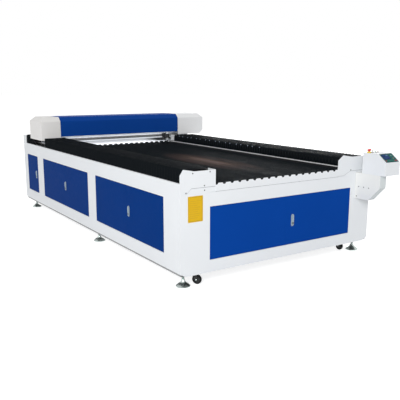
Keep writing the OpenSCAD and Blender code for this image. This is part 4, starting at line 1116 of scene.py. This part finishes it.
class LASER_OT_console(Operator):
    """Console box and arm, control panel, screen, keys and switches"""
    bl_idname = "laser.console"
    bl_label = "Console"

    def execute(self, context):
        self.housing()
        self.bracket()
        self.control_panel()
        self.switches()
        return {"FINISHED"}

    def housing(self):
        low, high = span("console_box")
        bm = bmesh.new()
        slope_top, slope_foot = span("keypad_plate")[1].y, high.z - 66
        profile = [(high.y, low.z), (low.y, low.z), (low.y, slope_foot), (slope_top, high.z),
                   (high.y, high.z)]
        prism(bm, profile, "x", low.x, high.x, 0, 2.2, 3)
        # louvred vent on the right face as dark strips, painted shade in its openings; screws in the base
        for k in range(7):
            y = high.y - 150 - k * 14
            block(bm, (high.x - 0.8, y, low.z + 34), (high.x - 0.05, y + 5, low.z + 84), 1)
        screw = [(0, 0), (3.6, 0), (3.2, 0.8), (0, 1.1)]
        for x in (low.x + 14, high.x - 14):
            for y in (low.y + 16, high.y - 16):
                turned(bm, screw, facing((x, y, low.z + 1.0), (0, 0, -1)), 1, 12)
        stand_in(bm, "console_box", "console_housing", [WHITE, STEEL])

    def bracket(self):
        low, high = span("console_arm")
        bm = bmesh.new()
        run, rise = 118, 122  # slope of the lower front corner
        profile = [(high.y, low.z), (low.y + run, low.z), (low.y, low.z + rise), (low.y, high.z),
                   (high.y, high.z)]
        prism(bm, profile, "x", low.x, high.x, 0, 2.0, 3)
        bm.normal_update()
        # faces that look forwards or down take the greyer copy of the white: painted shade
        for face in bm.faces:
            face.material_index = int(face.normal.y < -0.3)
        stand_in(bm, "console_arm", "console_bracket",
                 ["console white powder coat", "pale grey powder coat"])

    def control_panel(self):
        # X across the slope, Y down it and Z out of it, from its top left corner
        low, high = span("keypad_plate")
        slope = Vector((0, low.y - high.y, low.z - high.z))
        down, across = slope.normalized(), Vector((1, 0, 0))
        turn = Matrix((across, down, across.cross(down) * -1)).transposed().to_4x4()
        place = Matrix.Translation((low.x, high.y, high.z)) @ turn
        wide, tall = high.x - low.x, slope.length
        bm = bmesh.new()
        base = -0.45  # the plate's own height on the slope
        film, raised = base + 0.85, base + 1.4

        def pad(x0, y0, x1, y1, z0, z1, slot, rounding=0.35, steps=3):
            block(bm, (x0, y0, z0), (x1, y1, z1), slot, rounding, steps, place)

        pad(0.5, 1.0, wide - 0.5, tall - 1.0, base - 1.2, base + 0.6, 1, 0.5, 2)
        pad(3, 4, wide - 3, tall - 4, base + 0.55, base + 0.9, 0, 0.15, 2)
        # screen: dark bezel, glass and the blocks of a working page
        pad(10, 9, 98, 72, film, base + 1.3, 2, 0.3, 2)
        pad(15, 13, 93, 68, base + 1.25, base + 1.42, 3, 0.08, 2)
        for x0, y0, x1, y1, slot in (
                (18, 16, 62, 50, 4), (66, 16, 90, 26, 5), (66, 29, 90, 38, 4), (66, 41, 90, 50, 4),
                (18, 54, 90, 57, 4), (18, 61, 50, 65, 4), (26, 24, 50, 42, 3)):
            pad(x0, y0, x1, y1, raised, base + 1.47, slot, 0)
        # keys: a cross of four round its middle, a row under the screen, three rows at the right
        for dx, dy in ((0, 0), (-13, 0), (13, 0), (0, -13), (0, 13)):
            x, y = 127 + dx, 30 + dy
            pad(x - 5.2, y - 5.2, x + 5.2, y + 5.2, film, base + 1.45, 6 if (dx or dy) else 7)
        for k in range(5):
            pad(10 + k * 18, 80, 24 + k * 18, 92, film, raised, 8 if k == 0 else 6)
        for k in range(3):
            pad(106 + k * 16, 56, 118 + k * 16, 65, film, raised, 9 if k == 1 else 6)
            pad(106 + k * 16, 69, 118 + k * 16, 78, film, raised, 6)
            pad(104 + k * 17, 82, 118 + k * 17, 94, film, raised, 8 if k else 6)
        stand_in(bm, "keypad_plate", "control_panel",
                 ["teal film", "film edge", "screen bezel", "screen glass", "screen page",
                  "screen block", "dark teal key", "grey key", "red key", "pink key"])

    def switches(self):
        low, high = span("switch_collars")
        deck = span("console_box")[1].z
        y, lamp_x = (low.y + high.y) / 2, high.x - 11
        stop, key, start = (sum(span(n), Vector()) / 2
                            for n in ("stop_button", "key_switch", "start_button"))
        bm = bmesh.new()
        collar = [(8.4, 0), (17, 0), (17, 2), (16.2, 9.5), (14.8, 12), (8.4, 12)]
        turned(bm, collar, upright(stop.x, y, deck), 0, 40)
        ring = [(5.2, 0), (11, 0), (11, 1.4), (9.6, 3.6), (7.4, 4.0), (5.2, 4.0)]
        for x in (key.x, start.x, lamp_x):
            turned(bm, ring, upright(x, y, deck), 1)
        lens = [(0, 0), (5.0, 0), (5.0, 4), (4.4, 5.6), (2.4, 6), (0, 6)]
        turned(bm, lens, upright(lamp_x, y, deck), 2, 24)
        stand_in(bm, "switch_collars", "switch_bezels", ["collar yellow", STEEL, "lamp lens"])

        bm = bmesh.new()
        base, head = span("stop_button")
        z = head.z - 35
        foot = base.z - z
        mushroom = [(0, foot), (7.8, foot), (7.8, 17), (12, 17.5), (16.2, 20), (17, 23), (16.8, 27),
                    (15, 31.5), (11, 34.2), (5, 35), (0, 35)]
        place = upright(stop.x, stop.y, z)
        turned(bm, mushroom, place, 0, 48)
        for k in range(3):
            turn = place @ Matrix.Rotation(math.tau * k / 3, 4, "Z")
            arrow = [(8.6, -1.4), (11.8, -0.4), (11.8, 1.4), (8.2, 1.6)]
            prism(bm, arrow, "z", 33.6, 34.6, 1, turn=turn)
        stand_in(bm, "stop_button", "stop_mushroom", ["stop red", "arrow white"])

        bm = bmesh.new()
        base, head = span("start_button")
        cap = [(0, base.z), (4.8, base.z), (4.8, head.z - 2), (4.2, head.z - 0.6),
               (2.5, head.z - 0.2), (0, head.z)]
        turned(bm, cap, upright(start.x, start.y))
        stand_in(bm, "start_button", "start_cap", ["start green"])

        bm = bmesh.new()
        base, head = span("key_switch")
        plug = [(0, base.z), (4.8, base.z), (4.8, deck + 6), (4.2, deck + 7), (1.2, deck + 7),
                (1.2, deck + 6), (0, deck + 6)]
        turned(bm, plug, upright(key.x, key.y))
        block(bm, (key.x - 0.9, key.y - 2.5, deck + 5.5), (key.x + 0.9, key.y + 2.5, deck + 13),
              0, 0.2)
        bow = [(2.2, -0.9), (6, -0.9), (6, 0.9), (2.2, 0.9)]
        turned(bm, bow, facing((key.x, key.y, head.z - 6.2), (1, 0, 0)), 0, 24, 0.25)
        stand_in(bm, "key_switch", "key", [CHROME])


class LASER_OT_running_gear(Operator):
    """Levelling feet, caster forks and wheels"""
    bl_idname = "laser.running_gear"
    bl_label = "Feet and casters"

    def execute(self, context):
        self.feet()
        eased("caster_mounts", ["bright zinc"], 0.4)
        for node in ("caster_fork_l", "caster_fork_r"):
            eased(node, ["black coat"], 0.5)
        for node in ("wheel_fl", "wheel_fr", "wheel_rl", "wheel_rr"):
            self.wheel(node)
        return {"FINISHED"}

    def feet(self):
        bm = bmesh.new()
        for low, high in clusters("levelling_feet", 120, True):
            x, y, r, top = (low.x + high.x) / 2, (low.y + high.y) / 2, (high.x - low.x) / 2, high.z
            base = [(0, 0.6), (r - 6, 0.6), (r - 5, 0), (r - 1, 0), (r, 1.2), (r, 5.8),
                    (r - 1.2, 7.6), (r - 4, 9.4), (r - 8, 13), (r - 14, 19.4), (30, 26.5),
                    (24, 30.8), (20, 35.5), (17, 40.5), (14.5, 46), (12.8, 50.5), (12, 53), (0, 53)]
            turned(bm, base, upright(x, y), 0, 72)
            thread = [(0, 52)]
            z = 52.0
            while z < top - 1:
                thread += [(8.9, z), (9.9, z + 0.9)]
                z += 1.8
            turned(bm, [*thread, (8.9, top - 0.6), (0, top)], upright(x, y), 0, 24)
            hexagon(bm, (x, y, top - 27.9), (0, 0, 1), 31, 11.6)
        stand_in(bm, "levelling_feet", "levelling_feet_turned", ["plated foot"])

    def wheel(self, node):
        low, high = span(node)
        spin = next(j for j in frame["joints"] if j["child"] == BODY_OF[node])
        r, half, reach = (high.z - low.z) / 2, 12.5, 17.8  # radius, half widths of hub and axle
        place = facing((low + high) / 2, Vector(spin["axis"]).normalized())
        bm = bmesh.new()
        tyre = [(r - 9, half - 1.5), (r - 3.5, half - 1.2), (r - 1, half - 3.4), (r, half - 7)]
        hub = [(4.2, half), (11, half), (11.6, half - 1), (11.6, half - 4.2), (r - 13, half - 6),
               (r - 10, half - 2.2), (r - 8.8, half - 2.2)]
        for slot, steps, side in ((0, 56, tyre), (1, 48, hub)):
            turned(bm, [(x, -h) for x, h in side] + side[::-1], place, slot, steps)
        for side in (-1, 1):
            for k in range(6):
                turn = place @ Matrix.Rotation(math.tau * k / 6, 4, "Z")
                h = side * (half - 5.2)
                block(bm, (12, -1.5, h - 1.6), (r - 11.4, 1.5, h + 1.6), 1, 0.4, 2, turn)
        axle = [(0, -reach), (3.95, -reach), (3.95, reach), (0, reach)]
        turned(bm, axle, place, 2, 20)
        stand_in(bm, node, node + "_tyred", ["black rubber tread", "hub black", "bright zinc"])


class LASER_OT_frame(Operator):
    """Welded frame, rail beams, guide rails, floor pan and power unit"""
    bl_idname = "laser.frame"
    bl_label = "Frame and rails"

    def execute(self, context):
        eased("frame_long_tubes", ["light grey powder coat"], 1.2)
        eased("frame_posts", ["frame grey"], 1.2)
        eased("rail_beams", ["frame grey"], 1.2)
        eased("floor_pan", ["galvanised sheet"], 0.3)
        eased("linear_rails", ["ground steel", STEEL], 0.5, self.rail_bolts)
        eased("electronics", ["power unit grey", STEEL], 1.5, self.vent_shade)
        return {"FINISHED"}

    def rail_bolts(self, bm):
        low, high = span("linear_rails")
        bolt = [(0, 0), (4.6, 0), (4.4, 0.25), (2.2, 0.3), (0, 0.3)]
        for x in (low.x + 10, high.x - 10):
            for y in spread(low.y, high.y, 30, 56):
                turned(bm, bolt, facing((x, y, high.z - 0.1), (0, 0, 1)), 1, 10)

    def vent_shade(self, bm):
        """Dark strips for the slots in the power unit's left and front faces: painted shade in their openings."""
        low, high = span("electronics")
        for k in range(9):
            z = high.z - 30 - k * 12
            block(bm, (low.x - 0.6, low.y + 60, z), (low.x + 0.4, low.y + 300, z + 5), 1, 0.3)
            block(bm, (low.x + 60, low.y - 0.6, z), (low.x + 260, low.y + 0.4, z + 5), 1, 0.3)


class LASER_OT_rear(Operator):
    """Cable gland, water and air spigots"""
    bl_idname = "laser.rear"
    bl_label = "Rear ports"

    def execute(self, context):
        eased("rear_ports", ["turned brass"], 0.4)
        return {"FINISHED"}


class LASER_OT_fixings(Operator):
    """Screws of the covers and hinge pins of the doors"""
    bl_idname = "laser.fixings"
    bl_label = "Screws and pins"

    def execute(self, context):
        bm = bmesh.new()
        comb_y = span("comb_plates")[0].y + 1
        for low, high in clusters("screws", 16):
            size, seat, out = high - low, (low + high) / 2, Vector((0, 0, 0))
            axis = int(size.y < size.x)  # 1 on a face that looks forwards, 0 to the left
            seat[axis], out[axis] = high[axis], -1
            r, deep = size[1 - axis] / 2, size[axis]
            # painted over on the comb plate and on the right end cover
            holds_arm = ARM_SCREWS_X[0] < low.x < ARM_SCREWS_X[1]
            right_cover = low.x > RIGHT_COVER_X and not holds_arm
            painted = axis and (high.y < comb_y or right_cover)
            head = [(0, 0), (r, 0), (r, deep * 0.35), (r * 0.8, deep * 0.8), (r * 0.55, deep),
                    (r * 0.42, deep), (r * 0.36, deep * 0.45), (0, deep * 0.45)]
            turned(bm, head, facing(seat, out), int(painted), 20)
        stand_in(bm, "screws", "cover_screws", [STEEL, WHITE])
        eased("hinge_pins", [STEEL], 0.2)
        return {"FINISHED"}


# ---------------------------------------------------------------- stage


class LASER_OT_stage(Operator):
    """Pale floor, soft lamps, even room light and the camera"""
    bl_idname = "laser.stage"
    bl_label = "Studio"

    def execute(self, context):
        studio = context.scene.laser_studio
        self.floor()
        self.lamps(studio)
        self.room(studio)
        self.camera(studio)
        context.scene.view_settings.view_transform = "Standard"
        return {"FINISHED"}

    def floor(self):
        bm = bmesh.new()
        bmesh.ops.create_grid(bm, x_segments=1, y_segments=1, size=90)
        bmesh.ops.translate(bm, vec=(0, 0, -0.0005), verts=bm.verts)
        mesh = bpy.data.meshes.new("studio_floor")
        bm.to_mesh(mesh)
        bm.free()
        made = bpy.data.materials.new("studio floor")
        made.use_nodes = True
        tree = made.node_tree
        shader = tree.nodes["Principled BSDF"]
        for label, value in (("Base Color", (0.82, 0.82, 0.82, 1)), ("Roughness", 0.9),
                             ("Specular IOR Level", 0.0)):
            shader.inputs[label].default_value = value
        graph = Graph(tree)
        glow = graph.add("Emission", {"Strength": graph.times(graph.seen(), 0.70)})
        both = graph.add("AddShader", {0: shader.outputs[0], 1: glow[0]})
        graph.feed(tree.nodes["Material Output"].inputs["Surface"], both[0])
        mesh.materials.append(made)
        floor = bpy.data.objects.new("studio_floor", mesh)
        bpy.context.scene.collection.objects.link(floor)

    def lamp(self, name, position, target, size, power, colour=(1, 1, 1)):
        data = bpy.data.lights.new(name, "AREA")
        data.shape = "RECTANGLE"
        data.size, data.size_y = size
        data.energy = power
        data.color = colour
        lamp = bpy.data.objects.new(name, data)
        lamp.location = position
        lamp.rotation_mode = "QUATERNION"
        aim = Vector(target) - Vector(position)
        lamp.rotation_quaternion = aim.to_track_quat("-Z", "Y")
        bpy.context.scene.collection.objects.link(lamp)

    def lamps(self, studio):
        self.lamp("key", (-8.2, -8.6, 5.4), (-0.1, 0.2, 0.5), (6.0, 4.0), studio.key_power)
        self.lamp("fill", (6.5, -5.5, 3.0), (0.4, -0.6, 0.6), (3.5, 3.0), studio.fill_power,
                  (0.94, 0.97, 1.0))
        self.lamp("back", (8.6, 8.2, 4.2), (0, 0.3, 0.5), (5.0, 3.5), studio.back_power)
        # a soft glow on the deck plate under the parked gantry
        low, high = (TO_FRAME @ corner for corner in span("gantry_cover"))
        middle, wide = (low + high) / 2, high.x - low.x - 0.12
        y = middle.y + 0.11
        self.lamp("deck", (middle.x, y, low.z - 0.012), (middle.x, y, 0), (wide, 0.16),
                  studio.deck_power)
        # and another on the face of the beam, from behind the cover's front edge
        beam = TO_FRAME @ span("gantry_beam")[0]
        self.lamp("beam", (middle.x, low.y + 0.012, low.z - 0.004),
                  (middle.x, beam.y, beam.z + 0.02), (wide, 0.02), studio.beam_power)

    def room(self, studio):
        world = bpy.data.worlds.new("studio room")
        bpy.context.scene.world = world
        world.use_nodes = True
        back = world.node_tree.nodes["Background"].inputs
        back["Color"].default_value = (1, 1, 1, 1)
        graph = Graph(world.node_tree)
        graph.feed(back["Strength"], graph.ramp(graph.seen(), 0, 1, studio.sky, 1.0))

    def camera(self, studio):
        data = bpy.data.cameras.new("camera")
        data.sensor_width = 36
        data.lens = studio.lens
        data.clip_start, data.clip_end = 0.05, 400
        camera = bpy.data.objects.new("camera", data)
        camera.location = (-3.1208, -5.1309, 1.4714)
        tilt, roll, heading = 90 - 11.19, -0.07, -33.36
        camera.rotation_euler = [math.radians(turn) for turn in (tilt, roll, heading)]
        bpy.context.scene.collection.objects.link(camera)
        bpy.context.scene.camera = camera


OPERATORS = (LASER_OT_stage, LASER_OT_cabinet, LASER_OT_doors, LASER_OT_bellows, LASER_OT_bed,
             LASER_OT_gantry, LASER_OT_head, LASER_OT_console, LASER_OT_running_gear,
             LASER_OT_frame, LASER_OT_rear, LASER_OT_fixings)


class LASER_PT_panel(Panel):
    """Builds the machine piece by piece"""
    bl_idname = "LASER_PT_panel"
    bl_label = "Laser Bed"
    bl_space_type = "VIEW_3D"
    bl_region_type = "UI"
    bl_category = "Laser Bed"

    def draw(self, context):
        scene = context.scene
        for settings in (scene.laser_paint, scene.laser_sheet, scene.laser_studio):
            box = self.layout.box()
            for name in settings.__annotations__:
                box.prop(settings, name)
        for kind in OPERATORS:
            self.layout.operator(kind.bl_idname)


CLASSES = (PaintSettings, SheetSettings, StudioSettings, *OPERATORS, LASER_PT_panel)


def register():
    for kind in CLASSES:
        bpy.utils.register_class(kind)
    bpy.types.Scene.laser_paint = PointerProperty(type=PaintSettings)
    bpy.types.Scene.laser_sheet = PointerProperty(type=SheetSettings)
    bpy.types.Scene.laser_studio = PointerProperty(type=StudioSettings)


def unregister():
    for name in ("laser_paint", "laser_sheet", "laser_studio"):
        delattr(bpy.types.Scene, name)
    for kind in reversed(CLASSES):
        bpy.utils.unregister_class(kind)


def main():
    register()
    for kind in OPERATORS:
        area, name = kind.bl_idname.split(".")
        getattr(getattr(bpy.ops, area), name)()


if __name__ == "__main__":
    main()
